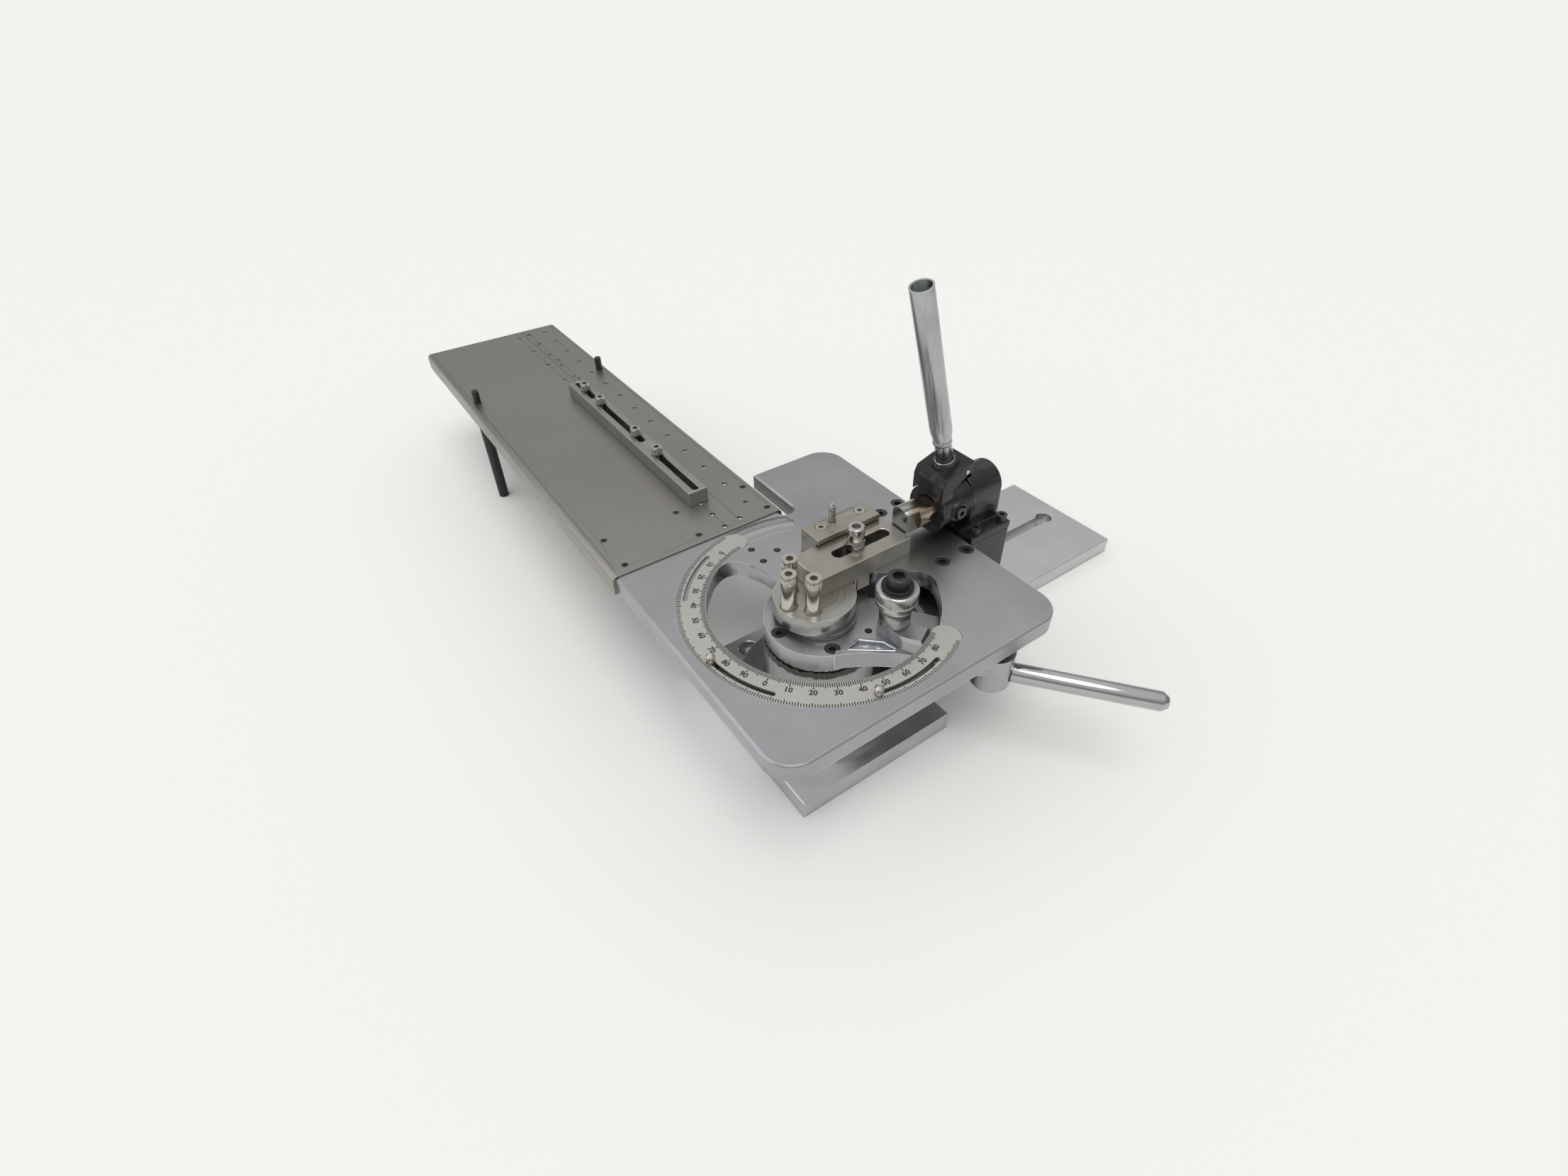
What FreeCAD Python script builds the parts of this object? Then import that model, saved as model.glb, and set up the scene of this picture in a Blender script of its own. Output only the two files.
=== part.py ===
import FreeCAD, Part
import os
import re
from math import atan2, hypot, pi, sqrt
from FreeCAD import Placement, Rotation, Vector
import Sketcher

# Scroll bender. The origin lies on the dial's axis at bench level, with +Z up,
# +Y along the ruled table and +X along the clamp's side arm. Sizes in mm.

# Driving dimensions
SIZES = {
    # clearances
    "fit_gap": 0.05,
    "run_gap": 0.3,
    "hole_gap": 0.3,
    # base plate with its side arm
    "base_thick": 18,
    "base_left": 84,
    "base_right": 76,
    "base_front": 92.5,
    "base_back": 98,
    "arm_end": 405,
    "arm_front": 13,
    "arm_back": 128,
    "bench_hole_x": -24.4,
    "bench_hole_y": 79.9,
    "bench_hole_rad": 5,
    "bench_boss_rad": 10,
    "slot_y": 58,
    "slot_start": 232,
    "slot_end": 378,
    "slot_rad": 5.5,
    "key_rad": 9,
    # pedestal with the bearing cup
    "flange_rad": 74,
    "flange_thick": 16,
    "cup_rad": 48.5,
    "cup_wall": 1.4,
    "cup_rim": 84.4,
    "cup_floor": 78,
    "foot_screw_ring": 62,
    # pivot post on the swing axis
    "post_rad": 20,
    "post_foot": 40,
    "spacer_rad": 31,
    "spacer_thick": 4.7,
    "spigot_rad": 12,
    "spigot_tall": 7,
    # ball thrust bearing
    "ball_rad": 5,
    "ball_pitch": 40.5,
    "ball_level": 86,
    "race_in": 33.5,
    "race_low_top": 82.6,
    "race_high_low": 89.4,
    "cage_half": 1.5,
    "cage_in": 34.5,
    "cage_out": 46.5,
    # support block under the plate's right side
    "block_left": 106,
    "block_front": 35,
    "block_back": 75,
    "neck_right": 208,
    "neck_front": 19,
    "neck_back": 50,
    "neck_top": 123.5,
    # main plate
    "plate_low": 114,
    "plate_thick": 16,
    "plate_left": 129,
    "plate_right": 153,
    "plate_front": 129,
    "plate_back": 190,
    "plate_corner": 25,
    "plate_edge": 1.5,
    "tongue_left": 57.8,
    "relief_left": 40.4,
    "fork_inset": 2.2,
    "relief_end": 122,
    "window_left": 22,
    "window_right": 28,
    "window_end": 126,
    "window_corner": 6,
    "rebate_start": 121.6,
    "rebate_deep": 1.5,
    "screw_ax": 142.8,
    "screw_ay": 65.5,
    "screw_bx": 118.9,
    "screw_by": 62.5,
    "screw_cx": 144.1,
    "screw_cy": -25.2,
    "screw_dx": 115.1,
    "screw_dy": -25,
    # opening in the plate and its round island
    "throat_rad": 95.4,
    "throat_wide_rad": 100,
    "throat_from": 132.3,
    "throat_step": 296,
    "throat_lip_x": 80,
    "throat_lip_y": -19,
    "fin_root_x": -17.5,
    "fin_root_y": 43.8,
    "fin_side_x": -25.4,
    "fin_side_y": 71.5,
    "fin_back_x": -31.4,
    "fin_back_y": 79.8,
    "fin_end_x": -46.4,
    "fin_end_y": 82.8,
    "throat_to": 334,
    "disc_x": -1.3,
    "disc_y": 6.6,
    "disc_rad": 35.3,
    "neck_left_angle": 132.6,
    "channel_back": 13.4,
    "channel_right": 55,
    "channel_corner": 5,
    # dial recess and dial ring
    "recess_rad": 120.1,
    "recess_deep": 2,
    "recess_start": 72,
    "recess_stop": 299,
    "ring_out": 119.7,
    "ring_in": 95.6,
    "ring_start": 100,
    "ring_thick": 1.9,
    "slot_ring": 112.5,
    "slot_half": 2,
    "slot_span": 30,
    "slot_one": 116,
    "slot_two": -175,
    "slot_three": -105,
    "stop_head_rad": 3.6,
    "stop_head_tall": 7,
    "stop_foot_rad": 3.6,
    "stop_foot_tall": 3,
    "groove_deep": 6,
    # tapped holes in the island's neck
    "tap_rad": 3.4,
    "tap_deep": 11,
    "tap_ax": -11.8,
    "tap_ay": 87.2,
    "tap_bx": 6.6,
    "tap_by": 73.1,
    "tap_cx": -12.1,
    "tap_cy": 67.4,
    # mandrel pins
    "pin_ax": -28,
    "pin_ay": 6,
    "pin_bx": -15,
    "pin_by": -10,
    "pin_cx": -16,
    "pin_cy": 21.5,
    "sleeve_rad": 6.5,
    "sleeve_foot_rad": 7.25,
    "sleeve_foot_tall": 4,
    "sleeve_tall": 26.5,
    # slider, guide and keeper
    "slider_left": -2.4,
    "slider_right": 97.2,
    "slider_front": -1.2,
    "slider_back": 38,
    "slider_thick": 19.2,
    "slider_slot_left": 27,
    "slider_slot_right": 88,
    "slider_slot_y": 18.6,
    "slider_slot_rad": 5.7,
    "key_left": 37,
    "key_right": 52,
    "key_back": 11.8,
    "key_tall": 12,
    "key_notch": 2,
    "slide_screw_x": 51.1,
    "slide_screw_rad": 4,
    "slide_collar_rad": 8,
    "slide_collar_tall": 6.5,
    "slide_head_rad": 7.5,
    "slide_head_tall": 13.8,
    "guide_left": 23.6,
    "guide_right": 93,
    "guide_back": 60,
    "guide_tall": 20.6,
    "keeper_front": 35.4,
    "keeper_thick": 5,
    "keeper_left_x": 38.4,
    "keeper_right_x": 82,
    "keeper_screw_y": 50.8,
    "dowel_x": 51.7,
    "dowel_y": 52.1,
    "dowel_rad": 3,
    "dowel_top": 174.4,
    "dowel_deep": 8,
    # cast swing arm
    "swing_low": 92.5,
    "swing_thick": 16.5,
    "hub_rad": 48.6,
    "swing_angle": -51.5,
    "swing_reach": 145.7,
    "swing_root": 58,
    "swing_root_half": 28,
    "swing_waist": 96,
    "swing_waist_half": 25,
    "boss_rad": 17,
    "boss_low": 72.4,
    "boss_round": 4,
    "bush_rad": 24,
    "pocket_deep": 3,
    "pocket_tip_along": 31.5,
    "pocket_tip_across": -32,
    "pocket_front_along": 68.5,
    "pocket_front_across": -22.8,
    "pocket_end_along": 58,
    "pocket_end_across": -17.8,
    "pocket_back_along": 38,
    "pocket_back_across": -20.5,
    "swing_screw_ax": -27.6,
    "swing_screw_ay": -29.6,
    "swing_screw_bx": 19.3,
    "swing_screw_by": -35.5,
    "swing_hole_x": 43.3,
    "swing_hole_y": -7.6,
    "rod_rad": 8.25,
    "rod_level": 86.5,
    "rod_seat": 15,
    "rod_end": 282,
    "rod_spigot": 5,
    "rod_sink": 12,
    # forming roller on its carriage
    "carriage_top": 122.8,
    "roller_along": 63.1,
    "roller_across": -3.6,
    "roller_post_rad": 13,
    "roller_post_tall": 15.3,
    "journal_rad": 9,
    "roller_rad": 17.5,
    "roller_foot_rad": 14.8,
    "roller_tall": 20.2,
    "roller_waist": 10,
    "washer_rad": 13,
    "washer_thick": 3,
    "bolt_rad": 6,
    "bolt_head_rad": 9,
    "bolt_head_tall": 8.5,
    "bolt_hex": 5.6,
    "bolt_socket_deep": 5.5,
    # index quadrant and latch pawl under the plate
    "teeth_tip": 96,
    "teeth_root": 98.6,
    "teeth_pitch": 2,
    "teeth_count": 24,
    "quadrant_out": 116,
    "quadrant_from": -44,
    "quadrant_to": 6,
    "quadrant_low": 80.5,
    "quadrant_thick": 9,
    "quadrant_screw_ring": 110,
    "quadrant_screw_one": -8,
    "quadrant_screw_two": 3,
    "pawl_along": 70.4,
    "pawl_across": 14.9,
    "pawl_rad": 7,
    "pawl_thick": 6,
    "pawl_pin_rad": 3,
    "pawl_reach": 23.2,
    # push-pull clamp
    "clamp_y": 15.6,
    "clamp_level": 157,
    "plunger_rad": 13,
    "plunger_nose": 98,
    "plunger_tail": 205,
    "nose_long": 14,
    "nose_half": 9,
    "barrel_rad": 21,
    "barrel_front": 130,
    "barrel_rim": 3,
    "barrel_rim_rad": 22,
    "housing_front": 168,
    "housing_back": 205,
    "housing_half": 20,
    "housing_top": 181,
    "roof_notch": 7,
    "foot_left": 157,
    "foot_thick": 7.5,
    "foot_screw_left": 167.4,
    "foot_screw_right": 202.2,
    "foot_screw_front": -12.5,
    "foot_screw_back": 43.7,
    "pivot_x": 150,
    "pivot_rad": 3,
    "pivot_head_rad": 5.5,
    "pivot_head_tall": 6,
    "pivot_hex": 3,
    "pivot_socket_deep": 3.5,
    "eye_rad": 6,
    "tongue_half": 3,
    "link_gap": 0.4,
    "link_thick": 3.6,
    "crank_x": 153,
    "crank_level": 178,
    "crank_rad": 2.5,
    "crank_eye": 4.5,
    "tail_pin_x": 190,
    "tail_pin_rad": 2,
    "tail_bore_rad": 3.1,
    "link_half": 4.5,
    "push_stroke": 14,
    "clamp_slot_half": 8,
    "yoke_half": 18.5,
    "yoke_left": 128,
    "yoke_right": 163,
    "yoke_low": 171,
    "yoke_top": 199.6,
    "yoke_heel": 142,
    "tube_lean": 17,
    "tube_foot_x": 146.5,
    "tube_rad": 9.5,
    "tube_wall": 1.5,
    "tube_neck_rad": 7.6,
    "tube_neck_long": 26,
    "tube_crimp": 12,
    "tube_long": 171,
    "tube_pin_x": 156,
    "tube_pin_level": 195,
    # ruled table
    "table_left": 132,
    "table_right": 45.6,
    "table_start": 121.8,
    "table_end": 691.2,
    "table_sheet": 3,
    "table_flange": 18.7,
    "table_bend": 5,
    "row_x": 24.2,
    "row_y": 152,
    "row_pitch": 40,
    "row_count": 14,
    "row_rad": 2.75,
    "table_screw_left": -114.3,
    "table_screw_mid": -39.4,
    "table_screw_right": 36,
    "table_screw_near": 132.8,
    "table_screw_far": 176.3,
    "ruler_left": -12.5,
    "ruler_right": 3.6,
    # fence bar
    "fence_left": 24.6,
    "fence_right": 4.2,
    "fence_start": 175,
    "fence_end": 465.6,
    "fence_thick": 16,
    "fence_slot_half": 3.2,
    "fence_slot_a": 178,
    "fence_slot_b": 264,
    "fence_slot_c": 290,
    "fence_slot_d": 402,
    "fence_slot_e": 412,
    "fence_slot_f": 462,
    "fence_nut_tall": 5,
    "fence_screw_one": 258,
    "fence_screw_two": 306,
    "fence_screw_three": 395,
    "fence_screw_four": 437,
    # legs
    "leg_left_x": -121,
    "leg_right_x": 35.4,
    "leg_y": 515,
    "leg_rad": 6,
    "leg_stud_rad": 4,
    "leg_stud_top": 147,
    # socket head screws: shank, head and head height by thread
    "bar_rad": 3,
    "bar_head": 5.2,
    "bar_tall": 8.5,
    "five_rad": 2.4,
    "five_head": 3,
    "five_tall": 2.4,
    "six_rad": 3,
    "six_head": 5,
    "six_tall": 6,
    "eight_rad": 4,
    "eight_head": 6.5,
    "eight_tall": 8,
    "six_hex": 2.6,
    "flat_socket_deep": 2,
    "socket_share": 0.552,
}

DOC = FreeCAD.newDocument("ScrollBender")
SHEET = DOC.addObject("Spreadsheet::Sheet", "Dims")
NODES = []


def fill_sheet():
    """Write every driving dimension into its own aliased cell."""
    for row, (alias, value) in enumerate(SIZES.items(), start=1):
        SHEET.set(f"A{row}", alias)
        SHEET.set(f"B{row}", str(value))
        SHEET.setAlias(f"B{row}", alias)
    DOC.recompute()


def full(text):
    """Expression text with every dimension's name led by its sheet."""
    return re.sub(r"[a-z]\w*", lambda m: "Dims." * (m.group() in SIZES) + m.group(), str(text))


def num(text):
    """Value of an expression of dimensions."""
    found = SHEET.evalExpression(full(text))
    return float(getattr(found, "Value", found))


def bind(item, **texts):
    """Bind properties of an object to expressions of dimensions."""
    for name, text in texts.items():
        item.setExpression(name.replace("__", "."), full(text))


def place(item, x="0", y="0", z="0", axis=None, angle="0"):
    """Bind an object's place and its turn about one axis."""
    if axis:
        item.Placement = Placement(Vector(), Rotation(Vector(*axis), num(angle)))
        item.setExpression("Placement.Rotation.Angle", full(angle))
    bind(item, Placement__Base__x=x, Placement__Base__y=y, Placement__Base__z=z)
    return item


def polar(radius, angle, x="0", y="0"):
    """Point at a radius and an angle, as two expressions."""
    return f"({x})+({radius})*cos({angle})", f"({y})+({radius})*sin({angle})"


def along(radial, across):
    """Point given along and across the swing arm, as two expressions."""
    return (f"({radial})*cos(swing_angle)-({across})*sin(swing_angle)",
            f"({radial})*sin(swing_angle)+({across})*cos(swing_angle)")


def round_slot(x0, y0, x1, y1, radius):
    """Outline of a slot with round ends between two centres along one axis."""
    if y0 == y1:
        return [(x0, f"({y0})-({radius})"), (x1, f"({y1})-({radius})", radius),
                (x1, f"({y1})+({radius})"), (x0, f"({y0})+({radius})", radius)]
    return [(f"({x0})+({radius})", y0), (f"({x1})+({radius})", y1, radius),
            (f"({x1})-({radius})", y1), (f"({x0})-({radius})", y0, radius)]


def box(x0, y0, x1, y1):
    """Rectangular outline."""
    return [(x0, y0), (x1, y0), (x1, y1), (x0, y1)]


def sector(inner, outer, start, stop):
    """Outline of a ring sector with round ends."""
    cap = f"(({outer})-({inner}))/2"
    return [(*polar(outer, start), outer, num(stop) - num(start) > 180), (*polar(outer, stop), cap),
            (*polar(inner, stop), f"-({inner})", num(stop) - num(start) > 180),
            (*polar(inner, start), cap)]


def arc_edge(start, end, radius, large):
    """Arc between two points; a negative radius runs clockwise."""
    left = (radius > 0) != large
    chord = end - start
    half = chord.Length / 2
    rise = sqrt(max(radius * radius - half * half, 0)) * (1 if left else -1)
    centre = (start + end) * 0.5 + Vector(-chord.y, chord.x, 0) * (rise / chord.Length)
    first, last = (start, end) if radius > 0 else (end, start)
    turn = [atan2(p.y - centre.y, p.x - centre.x) for p in (first, last)]
    if turn[1] <= turn[0]:
        turn[1] += 2 * pi
    return Part.ArcOfCircle(Part.Circle(centre, Vector(0, 0, 1), abs(radius)), *turn)


def fix(sketch, kind, *refs, text):
    """Add a dimension to a sketch and bind it to the sheet."""
    index = sketch.addConstraint(Sketcher.Constraint(kind, *refs, num(text)))
    sketch.setExpression(f"Constraints[{index}]", full(text))


def draw(sketch, loops):
    """Draw closed outlines with every corner and radius bound to the sheet."""
    for loop in loops:
        if loop[0] == "circle":
            x, y, radius = loop[1:]
            shape = Part.Circle(Vector(num(x), num(y), 0), Vector(0, 0, 1), num(radius))
            index = sketch.addGeometry(shape, False)
            fix(sketch, "DistanceX", -1, 1, index, 3, text=x)
            fix(sketch, "DistanceY", -1, 1, index, 3, text=y)
            fix(sketch, "Radius", index, text=radius)
            continue
        points = [Vector(num(corner[0]), num(corner[1]), 0) for corner in loop]
        ends = []
        for corner, start, end in zip(loop, points, points[1:] + points[:1]):
            if len(corner) == 2:
                index = sketch.addGeometry(Part.LineSegment(start, end), False)
                ends.append((index, 1, 2))
                continue
            radius = num(corner[2])
            large = len(corner) > 3 and corner[3]
            index = sketch.addGeometry(arc_edge(start, end, radius, large), False)
            ends.append((index, 1, 2) if radius > 0 else (index, 2, 1))
        for here, before in zip(ends, ends[-1:] + ends[:-1]):
            sketch.addConstraint(Sketcher.Constraint("Coincident", before[0], before[2], here[0], here[1]))
        for corner, after, (index, start, _) in zip(loop, loop[1:] + loop[:1], ends):
            fix(sketch, "DistanceX", -1, 1, index, start, text=corner[0])
            fix(sketch, "DistanceY", -1, 1, index, start, text=corner[1])
            if len(corner) == 2:
                continue
            wide, high = (abs(num(after[k]) - num(corner[k])) for k in (0, 1))
            if hypot(wide, high) > 1.999 * abs(num(corner[2])):
                k = 0 if high > wide else 1
                middle = f"(({corner[k]})+({after[k]}))/2"
                fix(sketch, ("DistanceX", "DistanceY")[k], -1, 1, index, 3, text=middle)
            else:
                size = corner[2] if num(corner[2]) > 0 else f"-({corner[2]})"
                fix(sketch, "Radius", index, text=size)


class Piece:
    """One sub-part as a body made of sketched features."""

    def __init__(self, label, **where):
        self.body = DOC.addObject("PartDesign::Body", label)
        self.body.Label = label
        self.steps = 0
        place(self.body, **where)
        NODES.append(self.body)

    def add(self, kind, name):
        """New feature with a numbered name."""
        self.steps += 1
        return self.body.newObject(kind, f"{self.body.Label}_{name}{self.steps}")

    def sketch(self, loops, plane, offset):
        """Sketch on one of the body's own planes."""
        made = self.add("Sketcher::SketchObject", "sketch")
        own = [f for f in self.body.Origin.OriginFeatures if f.Role == plane + "_Plane"][0]
        made.AttachmentSupport = [(own, "")]
        made.MapMode = "FlatFace"
        made.setExpression("AttachmentOffset.Base.z", full(offset))
        draw(made, loops)
        assert made.solve() == 0, made.Name
        return made

    def volume(self):
        """Volume after a recompute."""
        DOC.recompute()
        return 0 if self.body.Shape.isNull() else self.body.Shape.Volume

    def pad(self, low, high, *loops, plane="XY"):
        """Material between two levels along the plane's axis."""
        flipped = plane == "XZ"
        outline = self.sketch(loops, plane, f"-({high})" if flipped else low)
        feature = self.add("PartDesign::Pad", "pad")
        feature.Profile = outline
        bind(feature, Length=f"({high})-({low})")
        DOC.recompute()
        return self

    def cut(self, low, high, *loops, plane="XY"):
        """Remove material between two levels along the plane's axis."""
        before = self.volume()
        flipped = plane == "XZ"
        outline = self.sketch(loops, plane, f"-({low})" if flipped else high)
        feature = self.add("PartDesign::Pocket", "pocket")
        feature.Profile = outline
        bind(feature, Length=f"({high})-({low})")
        assert self.volume() < before - 0.01, feature.Name
        return feature

    def turn(self, *loops, cutting=False):
        """Revolve outlines of radius and height about the body's own Z axis."""
        before = self.volume()
        outline = self.sketch(loops, "XZ", "0")
        feature = self.add("PartDesign::Groove" if cutting else "PartDesign::Revolution", "turn")
        feature.Profile = outline
        feature.ReferenceAxis = (outline, ["V_Axis"])
        feature.Angle = 360
        after = self.volume()
        assert after < before - 0.01 if cutting else after > before, feature.Name
        return self

    def around(self, feature, count, angle):
        """Repeat a feature about the body's own Z axis."""
        pattern = self.add("PartDesign::PolarPattern", "pattern")
        pattern.Originals = [feature]
        pattern.Axis = (feature.Profile[0], ["N_Axis"])
        bind(pattern, Occurrences=count, Angle=angle)
        self.body.Tip = pattern
        DOC.recompute()
        return self

    def edge(self, kind, size, wanted):
        """Chamfer or fillet the edges that a test picks."""
        DOC.recompute()
        tip = self.body.Tip
        names = [f"Edge{i}" for i, e in enumerate(tip.Shape.Edges, 1) if wanted(e)]
        assert names, self.body.Label
        feature = self.add("PartDesign::" + kind, kind.lower())
        feature.Base = (tip, names)
        bind(feature, **{"Size" if kind == "Chamfer" else "Radius": size})
        DOC.recompute()
        assert "Invalid" not in feature.State, feature.Name
        return self


def at_level(level, reach=None):
    """Test for edges that lie flat at one level, optionally within a reach of the axis."""
    height = num(level)

    def wanted(edge):
        box_ = edge.BoundBox
        flat = abs(box_.ZMin - height) < 0.01 and abs(box_.ZMax - height) < 0.01
        return flat and (reach is None or reach(edge))
    return wanted


def upright(edge):
    """Test for edges that stand along Z."""
    return edge.BoundBox.XLength < 0.01 and edge.BoundBox.YLength < 0.01


def primitive(kind, name, x, y, z, **sizes):
    """Part primitive with its place and sizes bound."""
    item = DOC.addObject("Part::" + kind, name)
    bind(item, **sizes)
    return place(item, x=x, y=y, z=z)


def group(label, solids):
    """One node holding like pieces as separate solids."""
    node = DOC.addObject("Part::Compound", label)
    node.Label = label
    node.Links = solids
    NODES.append(node)
    return node


def socket_screws(label, places, under, grip, shank, head, tall, hexagon, depth):
    """Socket head screws standing head up, their heads' undersides at one level."""
    solids = []
    for index, (x, y) in enumerate(places):
        name = f"{label}_{index}_"
        solid = DOC.addObject("Part::MultiFuse", name + "body")
        solid.Shapes = [
            primitive("Cylinder", name + "head", x, y, under, Radius=head, Height=tall),
            primitive("Cylinder", name + "shank", x, y, f"({under})-({grip})", Radius=shank, Height=grip)]
        screw = DOC.addObject("Part::Cut", name + "screw")
        screw.Base = solid
        screw.Tool = primitive("Prism", name + "socket", x, y, f"({under})+({tall})-({depth})",
                               Circumradius=hexagon, Height=tall)
        solids.append(screw)
    return group(label, solids)


def cap_screws(label, thread, places, grip, under):
    """Socket cap screws of one thread."""
    head, tall = f"{thread}_head", f"{thread}_tall"
    return socket_screws(label, places, under, grip, f"{thread}_rad", head, tall,
                         f"{head}*socket_share", f"{tall}/2")


def flat_screws(label, places, under, head, grip):
    """Low socket head M6 screws let into a counterbore."""
    return socket_screws(label, places, under, grip, "six_rad", "six_head", head,
                         "six_hex", "flat_socket_deep")


def circles(places, radius):
    """Circles of one radius at several places."""
    return [("circle", x, y, radius) for x, y in places]


PLATE_TOP = "plate_low+plate_thick"
PLATE_SCREWS = [(f"screw_{k}x", f"screw_{k}y") for k in "abcd"]
PINS = [(f"pin_{k}x", f"pin_{k}y") for k in "abc"]
TAPS = [(f"tap_{k}x", f"tap_{k}y") for k in "abc"]
PEDESTAL_SCREWS = [polar("foot_screw_ring", 45 + 90 * k) for k in range(4)]
KEEPER_SCREWS = [("keeper_left_x", "keeper_screw_y"), ("keeper_right_x", "keeper_screw_y")]
SWING_SCREWS = [("swing_screw_ax", "swing_screw_ay"), ("swing_screw_bx", "swing_screw_by")]
ROLLER = along("roller_along", "roller_across")
PAWL = along("pawl_along", "pawl_across")
FOOT_SCREWS = [(f"foot_screw_{x}", f"foot_screw_{y}") for x in ("left", "right") for y in ("front", "back")]
TABLE_SCREWS = [(f"table_screw_{x}", f"table_screw_{y}")
                for x in ("left", "mid", "right") for y in ("near", "far")]
TABLE_TOP = f"{PLATE_TOP}-rebate_deep+table_sheet"
FENCE_X = "-(fence_left+fence_right)/2"
FENCE_SCREWS = [(FENCE_X, f"fence_screw_{k}") for k in ("one", "two", "three", "four")]
QUADRANT_SCREWS = [polar("quadrant_screw_ring", f"quadrant_screw_{k}") for k in ("one", "two")]
LEGS = {"left": ("leg_left_x", "leg_y"), "right": ("leg_right_x", "leg_y")}
DISC = ("disc_x", "disc_y")
SLOTS = ("slot_one", "slot_two", "slot_three")


def base_plate():
    """Bench plate with its side arm, bolt slot and bench bolt hole."""
    piece = Piece("base_plate")
    outline = [("-base_left", "-base_front"), ("base_right", "-base_front"), ("base_right", "-arm_front"),
               ("arm_end", "-arm_front"), ("arm_end", "arm_back"), ("base_right", "arm_back"),
               ("base_right", "base_back"), ("-base_left", "base_back")]
    hole = ("circle", "bench_hole_x", "bench_hole_y", "bench_hole_rad")
    keyhole = ("circle", "slot_end", "slot_y", "key_rad")
    slot = round_slot("slot_start", "slot_y", "slot_end", "slot_y", "slot_rad")
    piece.pad("0", "base_thick", outline, hole)
    piece.cut("0", "base_thick", slot)
    piece.cut("0", "base_thick", keyhole)
    piece.cut("base_thick/2", "base_thick", ("circle", "bench_hole_x", "bench_hole_y", "bench_boss_rad"))
    piece.cut("0", "eight_tall+1", *circles(PEDESTAL_SCREWS, "eight_head+hole_gap"))
    piece.cut("0", "base_thick", *circles(PEDESTAL_SCREWS, "eight_rad+hole_gap"))
    piece.edge("Chamfer", "1", at_level("base_thick", lambda e: e.Length > 60))


def pedestal():
    """Turned column with a bolted flange and a cup for the thrust bearing."""
    piece = Piece("pedestal", z="base_thick")
    bore = "post_rad+fit_gap"
    profile = [("spigot_rad", "0"), ("flange_rad-1.5", "0"), ("flange_rad", "1.5"),
               ("flange_rad", "flange_thick-1.5"), ("flange_rad-1.5", "flange_thick"),
               ("cup_rad", "flange_thick"), ("cup_rad", "cup_rim-base_thick"),
               ("cup_rad-cup_wall", "cup_rim-base_thick"), ("cup_rad-cup_wall", "cup_floor-base_thick"),
               (bore, "cup_floor-base_thick"), (bore, "post_foot-base_thick"),
               ("spigot_rad", "post_foot-base_thick")]
    piece.turn(profile)
    piece.cut("0", "flange_thick-2", *circles(PEDESTAL_SCREWS, "eight_rad+fit_gap"))


def pedestal_screws():
    """Screws let into the base plate's underside, up into the pedestal."""
    node = cap_screws("pedestal_screws", "eight", PEDESTAL_SCREWS, "18", "0")
    node.Placement = Placement(Vector(0, 0, 0), Rotation(Vector(1, 0, 0), 180))
    bind(node, Placement__Base__z="eight_tall+1")


def pivot_post():
    """Post on the swing axis with the spacer flange that carries the plate's island."""
    piece = Piece("pivot_post", z="post_foot")
    top = "plate_low-post_foot"
    spigot_top = f"{top}+spigot_tall"
    profile = [("0", "0"), ("post_rad-2", "0"), ("post_rad", "2"), ("post_rad", f"{top}-spacer_thick"),
               ("spacer_rad", f"{top}-spacer_thick"), ("spacer_rad", top), ("spigot_rad", top),
               ("spigot_rad", f"{spigot_top}-1"), ("spigot_rad-1", spigot_top), ("0", spigot_top)]
    piece.turn(profile)


def support_block():
    """Block between the base arm and the plate, with a neck for the clamp."""
    piece = Piece("support_block", z="base_thick")
    piece.pad("0", "plate_low-base_thick",
              box("block_left", "-block_front", "plate_right", "block_back"))
    piece.pad("0", "neck_top-base_thick",
              box("plate_right+run_gap", "-neck_front", "neck_right", "neck_back"))
    piece.pad("0", "plate_low-base_thick",
              box("plate_right-1", "-neck_front", "plate_right+run_gap+1", "neck_back"))
    piece.cut("plate_low-base_thick-14", "plate_low-base_thick", *circles(PLATE_SCREWS, "eight_rad+fit_gap"))
    piece.cut("neck_top-base_thick-12", "neck_top-base_thick", *circles(FOOT_SCREWS, "six_rad+fit_gap"))
    piece.edge("Chamfer", "2", lambda e: upright(e) and e.Vertexes[0].X > num("neck_right") - 0.1)
    seat = "quadrant_low-base_thick"
    piece.cut(seat, f"{seat}+quadrant_thick+8", ("circle", "0", "0", "quadrant_out+run_gap"))
    piece.cut(f"{seat}-12", seat, *circles(QUADRANT_SCREWS, "six_rad+fit_gap"))


def plate_outline():
    """Outer outline of the main plate with its fork under the table."""
    left, right, front, back, r = "-plate_left", "plate_right", "-plate_front", "plate_back", "plate_corner"
    relief = "(tongue_left-relief_left)/2"
    return [(f"{left}+{r}", front), (f"{right}-{r}", front, r), (right, f"{front}+{r}"),
            (right, f"{back}-{r}", r), (f"{right}-{r}", back), ("tongue_left", back),
            ("tongue_left", f"relief_end", f"-{relief}"), ("relief_left", "relief_end"),
            ("relief_left", back), ("window_right", back),
            ("window_right", "window_end+window_corner", "-window_corner"),
            ("window_right-window_corner", "window_end"), ("-window_left+window_corner", "window_end",
             "-window_corner"), ("-window_left", "window_end+window_corner"), ("-window_left", back),
            (f"{left}+fork_inset", back), (f"{left}+fork_inset", "rebate_start"), (left, "rebate_start"),
            (left, f"{front}+{r}", r)]


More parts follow.
